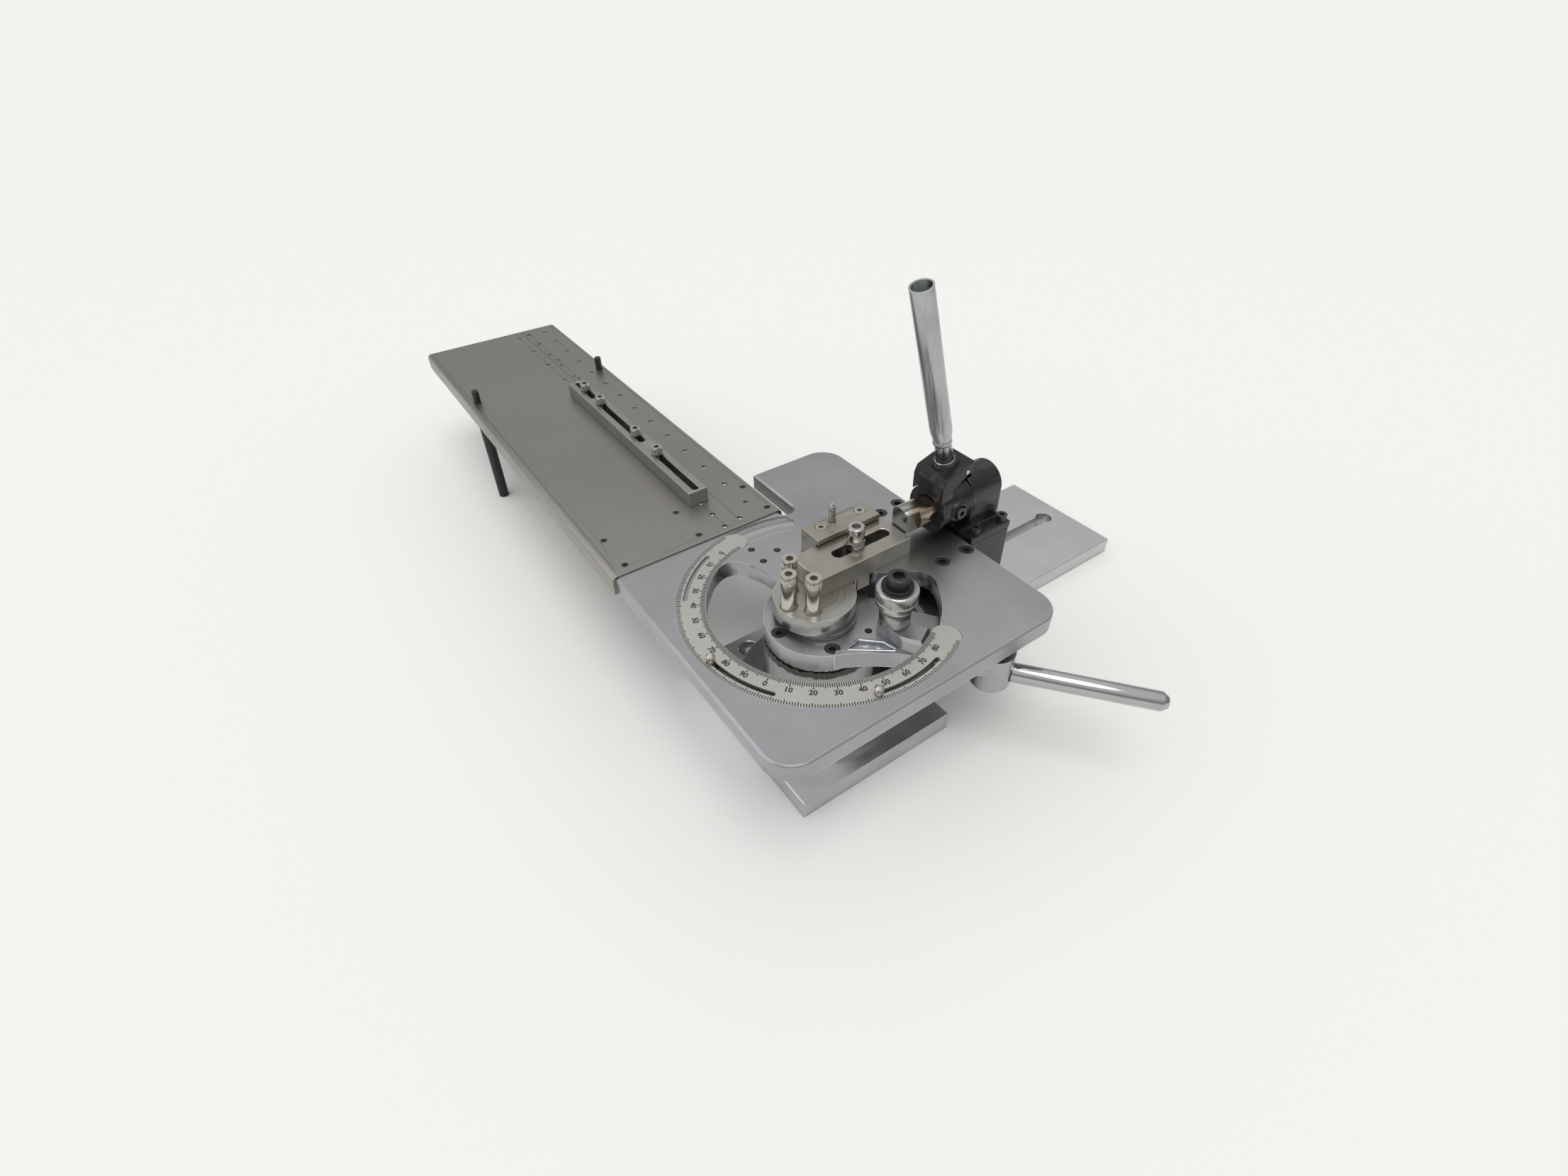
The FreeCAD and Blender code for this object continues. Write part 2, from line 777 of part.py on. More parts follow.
def throat_outline():
    """Opening round the island, from the fin clockwise side over the front to the slider's channel."""
    disc_left = polar("disc_rad", "neck_left_angle", *DISC)
    corner = "channel_corner"
    return [(*polar("throat_rad", "throat_from"), "throat_rad"),
            (*polar("throat_rad", "throat_step"),),
            (*polar("throat_wide_rad", "throat_step+1.5"), "throat_wide_rad"),
            (*polar("throat_wide_rad", "throat_to"), "16"),
            ("throat_lip_x", "throat_lip_y"), ("channel_right+4", "-4.5", "-8"), ("channel_right", "1"),
            ("channel_right", f"channel_back-{corner}", corner), (f"channel_right-{corner}", "channel_back"),
            ("disc_x+disc_rad", "channel_back"), ("disc_x+disc_rad", "disc_y", "-disc_rad", True),
            (*disc_left, "10"), ("fin_root_x", "fin_root_y", "60"), ("fin_side_x", "fin_side_y"),
            ("fin_back_x", "fin_back_y", "14"), ("fin_end_x", "fin_end_y", "40")]


def main_plate():
    """Machined table plate with the throat, the island, the dial recess and the fork."""
    piece = Piece("main_plate", z="plate_low")
    piece.pad("0", "plate_thick", plate_outline())
    piece.edge("Chamfer", "plate_edge", at_level("plate_thick"))
    piece.cut("plate_thick-rebate_deep", "plate_thick",
              box("-plate_left-1", "rebate_start", "relief_left+4", "plate_back+1"))
    piece.cut("0", "plate_thick", throat_outline())
    piece.cut("plate_thick-recess_deep", "plate_thick",
              sector("throat_rad-0.1", "recess_rad", "recess_start", "recess_stop"))
    for slot in SLOTS[1:]:
        groove = sector("slot_ring-stop_foot_rad-hole_gap", "slot_ring+stop_foot_rad+hole_gap",
                        slot, f"{slot}+slot_span")
        piece.cut("plate_thick-recess_deep-groove_deep", "plate_thick-recess_deep", groove)
    holes = circles(PLATE_SCREWS, "eight_head+hole_gap")
    piece.cut("plate_thick-eight_tall-0.5", "plate_thick", *holes)
    piece.cut("0", "plate_thick", *circles(PLATE_SCREWS, "eight_rad+hole_gap"))
    piece.cut("plate_thick-tap_deep", "plate_thick", *circles(TAPS, "tap_rad"))
    piece.cut("3", "plate_thick", *circles(PINS, "eight_rad+fit_gap"))
    piece.cut("2", "plate_thick", ("circle", "slide_screw_x", "slider_slot_y", "slide_screw_rad+fit_gap"))
    piece.cut("0", "spigot_tall+1", ("circle", "0", "0", "spigot_rad+fit_gap"))
    piece.cut("5", "plate_thick", ("circle", "dowel_x", "dowel_y", "dowel_rad+fit_gap"))
    piece.cut("4", "plate_thick", *circles(KEEPER_SCREWS, "six_rad+fit_gap"))
    piece.cut("2", "plate_thick-rebate_deep", *circles(TABLE_SCREWS, "five_rad+fit_gap"))


def plate_screws():
    """Screws that hold the plate on the support block."""
    cap_screws("plate_screws", "eight", PLATE_SCREWS, "plate_thick-eight_tall-0.5+12",
               f"{PLATE_TOP}-eight_tall-0.5")


def dial_ring():
    """Graduated ring with three arc slots, in its recess."""
    piece = Piece("dial_ring", z=f"{PLATE_TOP}-recess_deep")
    slots = [sector("slot_ring-slot_half", "slot_ring+slot_half", slot, f"{slot}+slot_span") for slot in SLOTS]
    piece.pad("0", "ring_thick", sector("ring_in", "ring_out", "ring_start", "recess_stop"))
    piece.cut("0", "ring_thick", *slots)


def stop_pin(label, slot):
    """Stop that slides along its arc slot, with its foot in the plate's groove."""
    x, y = polar("slot_ring", slot)
    piece = Piece(label, x=x, y=y, z=f"{PLATE_TOP}-recess_deep")
    shank = "slot_half-0.2"
    top = "ring_thick+run_gap"
    profile = [("0", "-run_gap-stop_foot_tall"), ("stop_foot_rad", "-run_gap-stop_foot_tall"),
               ("stop_foot_rad", "-run_gap"), (shank, "-run_gap"), (shank, top), ("stop_head_rad", top),
               ("stop_head_rad", f"{top}+stop_head_tall-2"), ("stop_head_rad-2", f"{top}+stop_head_tall", ),
               ("0", f"{top}+stop_head_tall")]
    piece.turn(profile)


def mandrel():
    """Three sleeves, each clamped to the island by a socket head screw."""
    sleeves = []
    for index, (x, y) in enumerate(PINS):
        tube = primitive("Cylinder", f"sleeve_{index}", x, y, PLATE_TOP, Radius="sleeve_rad", Height="sleeve_tall")
        foot = primitive("Cone", f"sleeve_foot_{index}", x, y, PLATE_TOP, Radius1="sleeve_foot_rad",
                         Radius2="sleeve_rad-0.2", Height="sleeve_foot_tall")
        both = DOC.addObject("Part::MultiFuse", f"sleeve_body_{index}")
        both.Shapes = [tube, foot]
        bore = primitive("Cylinder", f"sleeve_bore_{index}", x, y, PLATE_TOP,
                         Radius="eight_rad+hole_gap", Height="sleeve_tall")
        sleeve = DOC.addObject("Part::Cut", f"sleeve_cut_{index}")
        sleeve.Base = both
        sleeve.Tool = bore
        sleeves.append(sleeve)
    group("mandrel_sleeves", sleeves)
    cap_screws("mandrel_screws", "eight", PINS, "sleeve_tall+12", f"{PLATE_TOP}+sleeve_tall")


def slider_bar():
    """Slotted slider with a key that hangs in the throat's channel."""
    piece = Piece("slider_bar", z=PLATE_TOP)
    piece.pad("0", "slider_thick", box("slider_left", "slider_front", "slider_right", "slider_back"))
    notch = "key_notch"
    piece.pad("-key_tall", "0", [
        (f"key_left+{notch}", "slider_front"), ("key_right", "slider_front"), ("key_right", "key_back"),
        ("key_left", "key_back"), ("key_left", f"slider_front+{notch}", f"-{notch}")])
    piece.cut("0", "slider_thick", round_slot("slider_slot_left+slider_slot_rad", "slider_slot_y",
                                              "slider_slot_right-slider_slot_rad", "slider_slot_y",
                                              "slider_slot_rad"))
    piece.edge("Chamfer", "0.6", at_level("slider_thick"))


def slider_screw():
    """Collar and clamping screw in the slider's slot."""
    piece = Piece("slider_screw", x="slide_screw_x", y="slider_slot_y", z=f"{PLATE_TOP}+slider_thick+run_gap")
    top = "slide_collar_tall+slide_head_tall"
    profile = [("0", "-slider_thick-run_gap-12"), ("slide_screw_rad", "-slider_thick-run_gap-12"),
               ("slide_screw_rad", "0"), ("slide_collar_rad", "0"), ("slide_collar_rad", "slide_collar_tall-1"),
               ("slide_head_rad-0.7", "slide_collar_tall-1"), ("slide_head_rad-0.7", "slide_collar_tall+1.5"),
               ("slide_head_rad", "slide_collar_tall+1.5"), ("slide_head_rad", f"{top}-0.8"),
               ("slide_head_rad-0.8", top), ("3.9", top), ("3.9", f"{top}-6"), ("0", f"{top}-7.5")]
    piece.turn(profile)


def guide_and_keeper():
    """Guide block behind the slider and the keeper cap over both."""
    back = "guide_back"
    guide = Piece("guide_block", z=PLATE_TOP)
    guide.pad("0", "guide_tall", box("guide_left", "slider_back+run_gap", "guide_right", back))
    guide.cut("0", "guide_tall", *circles(KEEPER_SCREWS, "six_rad+fit_gap"),
              ("circle", "dowel_x", "dowel_y", "dowel_rad+fit_gap"))
    keeper = Piece("keeper_cap", z=f"{PLATE_TOP}+guide_tall")
    keeper.pad("0", "keeper_thick", box("guide_left", "keeper_front", "guide_right", back))
    keeper.cut("0", "keeper_thick", *circles(KEEPER_SCREWS, "six_rad+hole_gap"),
               ("circle", "dowel_x", "dowel_y", "dowel_rad+fit_gap"))
    keeper.cut("keeper_thick-3.6", "keeper_thick", *circles(KEEPER_SCREWS, "six_head+hole_gap"))
    keeper.edge("Chamfer", "0.5", at_level("keeper_thick", lambda e: e.Length > 12))
    flat_screws("keeper_screws", KEEPER_SCREWS, f"{PLATE_TOP}+guide_tall+keeper_thick-3.6", "3.2", "32")
    dowel = Piece("locating_dowel", x="dowel_x", y="dowel_y", z=f"{PLATE_TOP}-dowel_deep")
    top = f"dowel_top-({PLATE_TOP})+dowel_deep"
    dowel.turn([("0", "0"), ("dowel_rad", "0"), ("dowel_rad", f"{top}-8"), ("dowel_rad-0.8", f"{top}-8"),
                ("dowel_rad-0.8", f"{top}-6.5"), ("dowel_rad", f"{top}-6.5"), ("dowel_rad", f"{top}-3.5"),
                ("1", f"{top}"), ("0", top)])


def swing_arm():
    """Cast arm, drawn along its own length: hub, ribbed web, rod boss and a relief pocket."""
    piece = Piece("swing_arm", z="swing_low", axis=(0, 0, 1), angle="swing_angle")
    reach, level = "swing_reach", "rod_level-swing_low"
    half_web = [("hub_rad-12", "swing_root_half+6"), ("swing_root", "swing_root_half"),
                ("swing_waist", "swing_waist_half"), (reach, "boss_rad-1")]
    web = [(x, f"-({y})") for x, y in half_web] + half_web[::-1]
    piece.pad("0", "swing_thick", ("circle", "0", "0", "hub_rad"))
    piece.pad("0", "swing_thick", web)
    piece.pad("boss_low-swing_low", "swing_thick", ("circle", reach, "0", "boss_rad"))
    piece.edge("Fillet", "boss_round", at_level("boss_low-swing_low"))
    piece.cut("0", "swing_thick", ("circle", "0", "0", "bush_rad+fit_gap"))
    pocket = [(f"pocket_{k}_along", f"pocket_{k}_across") for k in ("tip", "front", "end", "back")]
    piece.cut("swing_thick-pocket_deep", "swing_thick", pocket)
    piece.cut("swing_thick-eight_tall-1", "swing_thick", *circles(SWING_SCREWS, "eight_head+hole_gap"))
    piece.cut("0.5", "swing_thick", *circles(SWING_SCREWS, "eight_rad+fit_gap"))
    piece.cut("5", "swing_thick", ("circle", "swing_hole_x", "swing_hole_y", "tap_rad"))
    piece.cut("0", "12", ("circle", "pawl_along", "pawl_across", "pawl_pin_rad+fit_gap"))
    piece.cut("3", "swing_thick", ("circle", "roller_along", "roller_across", "bolt_rad+fit_gap"))
    piece.cut(f"{reach}+rod_seat-rod_sink-0.5", f"{reach}+boss_rad+1",
              ("circle", "0", level, "rod_spigot+fit_gap"), plane="YZ")
    piece.cut(f"{reach}+rod_seat", f"{reach}+boss_rad+1", ("circle", "0", level, "rod_rad+hole_gap"), plane="YZ")


def handle_rod():
    """Polished rod screwed into the arm's boss, lying along the arm."""
    piece = Piece("handle_rod")
    length = "rod_end-swing_reach-rod_seat"
    profile = [("0", "-rod_sink"), ("rod_spigot", "-rod_sink"), ("rod_spigot", "0"), ("rod_rad-1.5", "0"),
               ("rod_rad", "1.5"), ("rod_rad", f"{length}-5"), ("rod_rad-3", length), ("0", length)]
    piece.turn(profile)
    turn = Rotation(Vector(0, 0, 1), num("swing_angle")) * Rotation(Vector(0, 1, 0), 90)
    piece.body.Placement = Placement(Vector(), turn)
    x, y = along("swing_reach+rod_seat", "0")
    bind(piece.body, Placement__Base__x=x, Placement__Base__y=y, Placement__Base__z="rod_level")


def arm_screws():
    """Two screws let into the arm's hub."""
    places = [along(x, y) for x, y in SWING_SCREWS]
    cap_screws("arm_screws", "eight", places, "swing_thick-eight_tall-2",
               "swing_low+swing_thick-eight_tall-1")


def bearing():
    """Bush and ball thrust bearing under the arm's hub."""
    bush = Piece("hub_bush", z="swing_low")
    bush.turn([("post_rad+fit_gap", "0"), ("bush_rad", "0"), ("bush_rad", "swing_thick"),
               ("post_rad+fit_gap", "swing_thick")])
    lower = Piece("bearing_race_lower", z="cup_floor")
    rise = "(ball_level-race_low_top)"
    reach = f"sqrt((ball_rad+0.1)^2-{rise}^2)"
    outer = "cup_rad-cup_wall-fit_gap"
    lower.turn([("race_in", "0"), (outer, "0"), (outer, "race_low_top-cup_floor"),
                (f"ball_pitch+{reach}", "race_low_top-cup_floor", "-(ball_rad+0.1)"),
                (f"ball_pitch-{reach}", "race_low_top-cup_floor"), ("race_in", "race_low_top-cup_floor")])
    upper = Piece("bearing_race_upper", z="race_high_low")
    drop = "(race_high_low-ball_level)"
    reach = f"sqrt((ball_rad+0.1)^2-{drop}^2)"
    upper.turn([("race_in", "0"), (f"ball_pitch-{reach}", "0", "-(ball_rad+0.1)"), (f"ball_pitch+{reach}", "0"),
                (outer, "0"), (outer, "swing_low-race_high_low"), ("race_in", "swing_low-race_high_low")])
    cage = Piece("bearing_cage", z="ball_level-cage_half")
    cage.pad("0", "2*cage_half", ("circle", "0", "0", "cage_out"), ("circle", "0", "0", "cage_in"))
    window = cage.cut("0", "2*cage_half", ("circle", "ball_pitch", "0", "ball_rad+0.08"))
    cage.around(window, "12", "360")
    balls = []
    for index in range(12):
        x, y = polar("ball_pitch", 30 * index)
        balls.append(primitive("Sphere", f"ball_{index}", x, y, "ball_level", Radius="ball_rad"))
    group("bearing_balls", balls)


def roller_set():
    """Carriage, post, forming roller, washer and bolt."""
    carriage = Piece("roller_carriage", z="swing_low+swing_thick")
    tall = "carriage_top-swing_low-swing_thick"
    carriage.pad("0", tall, [
        (*polar("roller_post_rad", "-38", *ROLLER), "roller_post_rad", True),
        (*polar("roller_post_rad", "153", *ROLLER),),
        ("27.4", "-72.6"), ("36.1", "-85.6"), ("54.6", "-75.6")])
    carriage.edge("Chamfer", "2.2", at_level(tall, lambda e: e.BoundBox.YMax < -58))
    carriage.cut("0", tall, ("circle", *ROLLER, "bolt_rad+fit_gap"))
    post = Piece("roller_post", x=ROLLER[0], y=ROLLER[1], z="carriage_top")
    shoulder, journal_top = "roller_post_tall", "roller_post_tall+roller_tall+2*run_gap"
    bore = "bolt_rad+fit_gap"
    post.turn([(bore, "0"), ("roller_post_rad", "0"), ("roller_post_rad", f"{shoulder}-2"),
               ("roller_post_rad-1", f"{shoulder}-2"), ("roller_post_rad-1", shoulder),
               ("journal_rad", shoulder), ("journal_rad", journal_top), (bore, journal_top)])
    roller = Piece("forming_roller", x=ROLLER[0], y=ROLLER[1], z=f"carriage_top+{shoulder}+run_gap")
    roller.turn([("journal_rad+fit_gap", "0"), ("roller_foot_rad-1", "0"), ("roller_foot_rad", "1"),
                 ("roller_foot_rad+0.3", "5"), ("roller_rad-0.8", "roller_waist-2"),
                 ("roller_rad", "roller_waist-0.5"), ("roller_rad-0.9", "roller_waist"),
                 ("roller_rad", "roller_waist+0.8"), ("roller_rad", "roller_tall-2.4", "2.2"),
                 ("roller_rad-2.2", "roller_tall"), ("journal_rad+fit_gap", "roller_tall")])
    washer = Piece("roller_washer", x=ROLLER[0], y=ROLLER[1], z=f"carriage_top+{journal_top}")
    washer.turn([(bore, "0"), ("washer_rad-0.5", "0"), ("washer_rad", "0.5"), ("washer_rad", "washer_thick-0.8"),
                 ("washer_rad-0.8", "washer_thick"), (bore, "washer_thick")])
    bolt = Piece("roller_bolt", x=ROLLER[0], y=ROLLER[1], z=f"carriage_top+{journal_top}+washer_thick")
    grip = f"({journal_top}+washer_thick+{tall}+swing_thick-4)"
    bolt.turn([("0", f"-{grip}"), ("bolt_rad", f"-{grip}"), ("bolt_rad", "0"), ("bolt_head_rad", "0"),
               ("bolt_head_rad", "bolt_head_tall-1"), ("bolt_head_rad-1", "bolt_head_tall"),
               ("0", "bolt_head_tall")])
    hexagon = [polar("bolt_hex", 60 * k) for k in range(6)]
    bolt.cut("bolt_head_tall-bolt_socket_deep", "bolt_head_tall", hexagon)


def index_set():
    """Toothed quadrant on the support block and the pawl under the arm."""
    piece = Piece("index_quadrant", z="quadrant_low")
    rim = [(*polar("quadrant_out", "quadrant_from"), "quadrant_out"),
           (*polar("quadrant_out", "quadrant_to"),),
           (*polar("teeth_tip", "quadrant_to"), "-teeth_tip"), (*polar("teeth_tip", "quadrant_from"),)]
    piece.pad("0", "quadrant_thick", rim)
    first = "quadrant_from+teeth_pitch*0.5"
    gap = [polar("teeth_tip-1", first), polar("teeth_root", f"{first}+teeth_pitch*0.45"),
           polar("teeth_root", f"{first}+teeth_pitch*0.55"), polar("teeth_tip-1", f"{first}+teeth_pitch")]
    tooth = piece.cut("0", "quadrant_thick", gap)
    piece.around(tooth, "teeth_count", "teeth_pitch*(teeth_count-1)")
    piece.cut("0", "quadrant_thick", *circles(QUADRANT_SCREWS, "six_rad+hole_gap"))
    piece.cut("quadrant_thick-3.5", "quadrant_thick", *circles(QUADRANT_SCREWS, "six_head+hole_gap"))
    flat_screws("quadrant_screws", QUADRANT_SCREWS, "quadrant_low+quadrant_thick-3.5", "3.2", "16")


def pawl():
    """Latch pawl hung under the arm, its nose in the quadrant's teeth."""
    lean = "swing_angle*1 deg+atan2(pawl_across;pawl_along)"
    piece = Piece("latch_pawl", x=PAWL[0], y=PAWL[1], z="swing_low-run_gap-pawl_thick",
                  axis=(0, 0, 1), angle=lean)
    piece.pad("0", "pawl_thick",
              [("0", "-pawl_rad", ), ("pawl_reach-4", "-2.6"), ("pawl_reach", "-0.5"), ("pawl_reach", "0.5"),
               ("pawl_reach-4", "2.6"), ("0", "pawl_rad", "pawl_rad")])
    piece.cut("0", "pawl_thick", ("circle", "0", "0", "pawl_pin_rad+fit_gap"))
    pin = Piece("latch_pin", x=PAWL[0], y=PAWL[1], z="swing_low-pawl_thick-2*run_gap-2")
    pin.turn([("0", "0"), ("pawl_rad-1.5", "0"), ("pawl_rad-1.5", "2"), ("pawl_pin_rad", "2"),
              ("pawl_pin_rad", "pawl_thick+2*run_gap+2+10"), ("0", "pawl_thick+2*run_gap+2+10")])


def clamp_body():
    """Cast clamp body: foot, arched housing and slotted barrel."""
    piece = Piece("clamp_body")
    foot_top = "neck_top+foot_thick"
    y0, y1 = "clamp_y-housing_half", "clamp_y+housing_half"
    piece.pad("neck_top", foot_top, box("foot_left", "-neck_front", "neck_right", "neck_back"))
    spring = "housing_top-housing_half"
    arch = [(y0, f"{foot_top}-2"), (y1, f"{foot_top}-2"), (y1, spring, "housing_half"), (y0, spring)]
    piece.pad("housing_front", "housing_back", arch, plane="YZ")
    web = box("clamp_y-9", f"{foot_top}-2", "clamp_y+9", "clamp_level-10")
    piece.pad("foot_left+1", "housing_front+1", web, plane="YZ")
    piece.pad("barrel_front", "housing_front+2", ("circle", "clamp_y", "clamp_level", "barrel_rad"), plane="YZ")
    piece.pad("barrel_front", "barrel_front+barrel_rim",
              ("circle", "clamp_y", "clamp_level", "barrel_rim_rad"), plane="YZ")
    piece.cut("barrel_front", "housing_back", ("circle", "clamp_y", "clamp_level", "plunger_rad+fit_gap"),
              plane="YZ")
    slot0, slot1 = "clamp_y-clamp_slot_half", "clamp_y+clamp_slot_half"
    piece.cut(slot0, slot1, box("pivot_x-eye_rad-1.5", "clamp_level", "housing_front+roof_notch", "housing_top+2"),
              plane="XZ")
    piece.cut(slot0, slot1, box("housing_front-1", "clamp_level", "housing_back", "housing_top-2.4"),
              plane="XZ")
    piece.cut("clamp_y-barrel_rim_rad-2", "clamp_y+barrel_rim_rad+2",
              ("circle", "pivot_x", "clamp_level", "pivot_rad+fit_gap"), plane="XZ")
    piece.cut("clamp_y-barrel_rim_rad-8", "clamp_y-barrel_rad+2", ("circle", "pivot_x", "clamp_level", "6.5"),
              plane="XZ")
    piece.cut("neck_top", foot_top, *circles(FOOT_SCREWS, "six_rad+hole_gap"))


def clamp_plunger():
    """Plunger with a flatted nose and a slot for the lever's tongue and the links."""
    piece = Piece("clamp_plunger", x="plunger_nose", y="clamp_y", z="clamp_level")
    length = "plunger_tail-plunger_nose"
    piece.pad("0", length, ("circle", "0", "0", "plunger_rad"), plane="YZ")
    half = "nose_half"
    side = "plunger_rad+1"
    back = "-plunger_rad-1"
    piece.cut("-1", "nose_long", box(half, back, side, side), plane="YZ")
    piece.cut("-1", "nose_long", box(back, back, f"-{half}", side), plane="YZ")
    slot = box("pivot_x-eye_rad-0.5-push_stroke-plunger_nose", back, f"{length}-5", side)
    piece.cut("-clamp_slot_half", "clamp_slot_half", slot, plane="XZ")
    piece.cut(back, side, ("circle", "tail_pin_x-plunger_nose", "0", "tail_pin_rad+fit_gap"), plane="XZ")
    long_way = box("pivot_x-pivot_rad-0.3-push_stroke-plunger_nose", "-pivot_rad-0.3",
                   "pivot_x+pivot_rad+0.3-plunger_nose", "pivot_rad+0.3")
    piece.cut(back, side, long_way, plane="XZ")


def clamp_lever():
    """Saddle yoke with its tongue, cranked about the pivot pin in the barrel."""
    piece = Piece("clamp_yoke")
    y0, y1 = "clamp_y-yoke_half", "clamp_y+yoke_half"
    def top(x):
        return f"yoke_top+({x}-tube_foot_x)*tan(tube_lean)"
    block = [("yoke_left", "yoke_low"), ("yoke_heel", "yoke_low"), ("yoke_heel", "yoke_low+10"),
             ("yoke_right", "yoke_top-5"), ("yoke_right", top("yoke_right")), ("yoke_left+3", top("yoke_left+3")),
             ("yoke_left", "yoke_top-12")]
    piece.pad(y0, y1, block, plane="XZ")
    piece.cut("yoke_left-1", "yoke_right", ("circle", "clamp_y", "clamp_level", "barrel_rim_rad+0.4"),
              plane="YZ")
    eye = [("pivot_x-eye_rad", "clamp_level", "eye_rad"), ("pivot_x+eye_rad", "clamp_level"),
           ("crank_x+crank_eye", "crank_level"), ("crank_x+crank_eye", "crank_level+9"),
           ("pivot_x-eye_rad", "crank_level+9")]
    piece.pad("clamp_y-tongue_half", "clamp_y+tongue_half", eye, plane="XZ")
    through = ("clamp_y-yoke_half-1", "clamp_y+yoke_half+1")
    piece.cut(*through, ("circle", "pivot_x", "clamp_level", "pivot_rad+fit_gap"), plane="XZ")
    piece.cut(*through, ("circle", "crank_x", "crank_level", "crank_rad+fit_gap"), plane="XZ")
    piece.cut(*through, ("circle", "tube_pin_x", "tube_pin_level", "2+fit_gap"), plane="XZ")
    return piece


def bar(x0, y0, x1, y1, half):
    """Outline of a bar with round ends between two points at any angle."""
    lean = f"atan2(({y1})-({y0});({x1})-({x0}))"
    low, high = f"{lean}-90 deg", f"{lean}+90 deg"
    return [polar(half, low, x0, y0), (*polar(half, low, x1, y1), half),
            polar(half, high, x1, y1), (*polar(half, high, x0, y0), half)]


def clamp_links():
    """Two links from the yoke's crank pin to the plunger's tail pin."""
    shape = bar("crank_x", "crank_level", "tail_pin_x", "clamp_level", "link_half")
    holes = [("circle", "crank_x", "crank_level", "crank_rad+fit_gap"),
             ("circle", "tail_pin_x", "clamp_level", "tail_bore_rad")]
    for label, side in (("clamp_link_front", "-"), ("clamp_link_rear", "")):
        near = f"clamp_y+{side}(tongue_half+link_gap)"
        far = f"clamp_y+{side}(tongue_half+link_gap+link_thick)".replace("+-", "-")
        near = near.replace("+-", "-")
        piece = Piece(label)
        low, high = (far, near) if side else (near, far)
        piece.pad(low, high, shape, plane="XZ")
        piece.cut(low, high, *holes, plane="XZ")


def clamp_pins():
    """Pivot pin with its socket head, crank pin, tail pin and yoke pin, all along Y."""
    reach = "tongue_half+link_gap+link_thick+0.4"
    pins = {"clamp_pivot_pin": ("pivot_x", "clamp_level", "pivot_rad", "barrel_rad-2", "barrel_rad-1"),
            "clamp_crank_pin": ("crank_x", "crank_level", "crank_rad", reach, reach),
            "clamp_tail_pin": ("tail_pin_x", "clamp_level", "tail_pin_rad", "plunger_rad-0.6", "plunger_rad-0.6"),
            "clamp_yoke_pin": ("tube_pin_x", "tube_pin_level", "2", "yoke_half+0.6", "yoke_half")}
    for label, (x, z, radius, front, back) in pins.items():
        piece = Piece(label)
        piece.pad(f"clamp_y-({front})", f"clamp_y+{back}", ("circle", x, z, radius), plane="XZ")
        if label == "clamp_pivot_pin":
            face = f"clamp_y-({front})"
            head = f"{face}-pivot_head_tall"
            piece.pad(head, face, ("circle", x, z, "pivot_head_rad"), plane="XZ")
            piece.cut(head, f"{head}+pivot_socket_deep",
                      [polar("pivot_hex", 60 * k, x, z) for k in range(6)], plane="XZ")


def tube_handle():
    """Tube with a crimped neck, standing square on the yoke's sloping top."""
    piece = Piece("clamp_tube_handle", x="tube_foot_x", y="clamp_y", z="yoke_top",
                  axis=(0, 1, 0), angle="-tube_lean")
    flare = "tube_neck_long+tube_crimp"
    inner = "tube_rad-tube_wall"
    piece.turn([("0", "0"), ("tube_neck_rad", "0"), ("tube_neck_rad", "tube_neck_long"), ("tube_rad", flare),
                ("tube_rad", "tube_long"), (inner, "tube_long"), (inner, f"{flare}+2"), ("0", f"{flare}-2")])


def table():
    """Ruled table of bent sheet with a flange down each side."""
    piece = Piece("table")
    top, foot = TABLE_TOP, f"{TABLE_TOP}-table_flange"
    inner = "table_bend-table_sheet"
    left, right = "-table_left", "table_right"
    sheet, bend = "table_sheet", "table_bend"
    profile = [(left, foot), (f"{left}+{sheet}", foot), (f"{left}+{sheet}", f"{top}-{bend}", f"-({inner})"),
               (f"{left}+{bend}", f"{top}-{sheet}"), (f"{right}-{bend}", f"{top}-{sheet}", f"-({inner})"),
               (f"{right}-{sheet}", f"{top}-{bend}"), (f"{right}-{sheet}", foot), (right, foot),
               (right, f"{top}-{bend}", bend), (f"{right}-{bend}", top), (f"{left}+{bend}", top, bend),
               (left, f"{top}-{bend}")]
    piece.pad("table_start", "table_end", profile, plane="XZ")
    low = f"{top}-{sheet}"
    row = [("circle", "row_x", f"row_y+row_pitch*{k}", "row_rad") for k in range(int(num("row_count")))]
    small = [("ruler_left", y) for y in ("512", "566", "618", "671")]
    small += [("ruler_right", y) for y in ("505", "572", "638", "674")]
    near = [("5.3", "133.3"), ("-13.4", "130.3"), ("-12.7", "153.5"), ("-12", "175.9")]
    piece.cut(low, top, *row, *circles(small + near, "row_rad"))
    piece.cut(low, top, *circles(TABLE_SCREWS, "five_head+hole_gap"))
    piece.cut(low, top, *circles(FENCE_SCREWS, "bar_rad+hole_gap"))
    piece.cut(low, top, *circles(LEGS.values(), "leg_stud_rad+hole_gap"))
    cap_screws("table_screws", "five", TABLE_SCREWS, "10", f"{top}-five_tall-0.5")


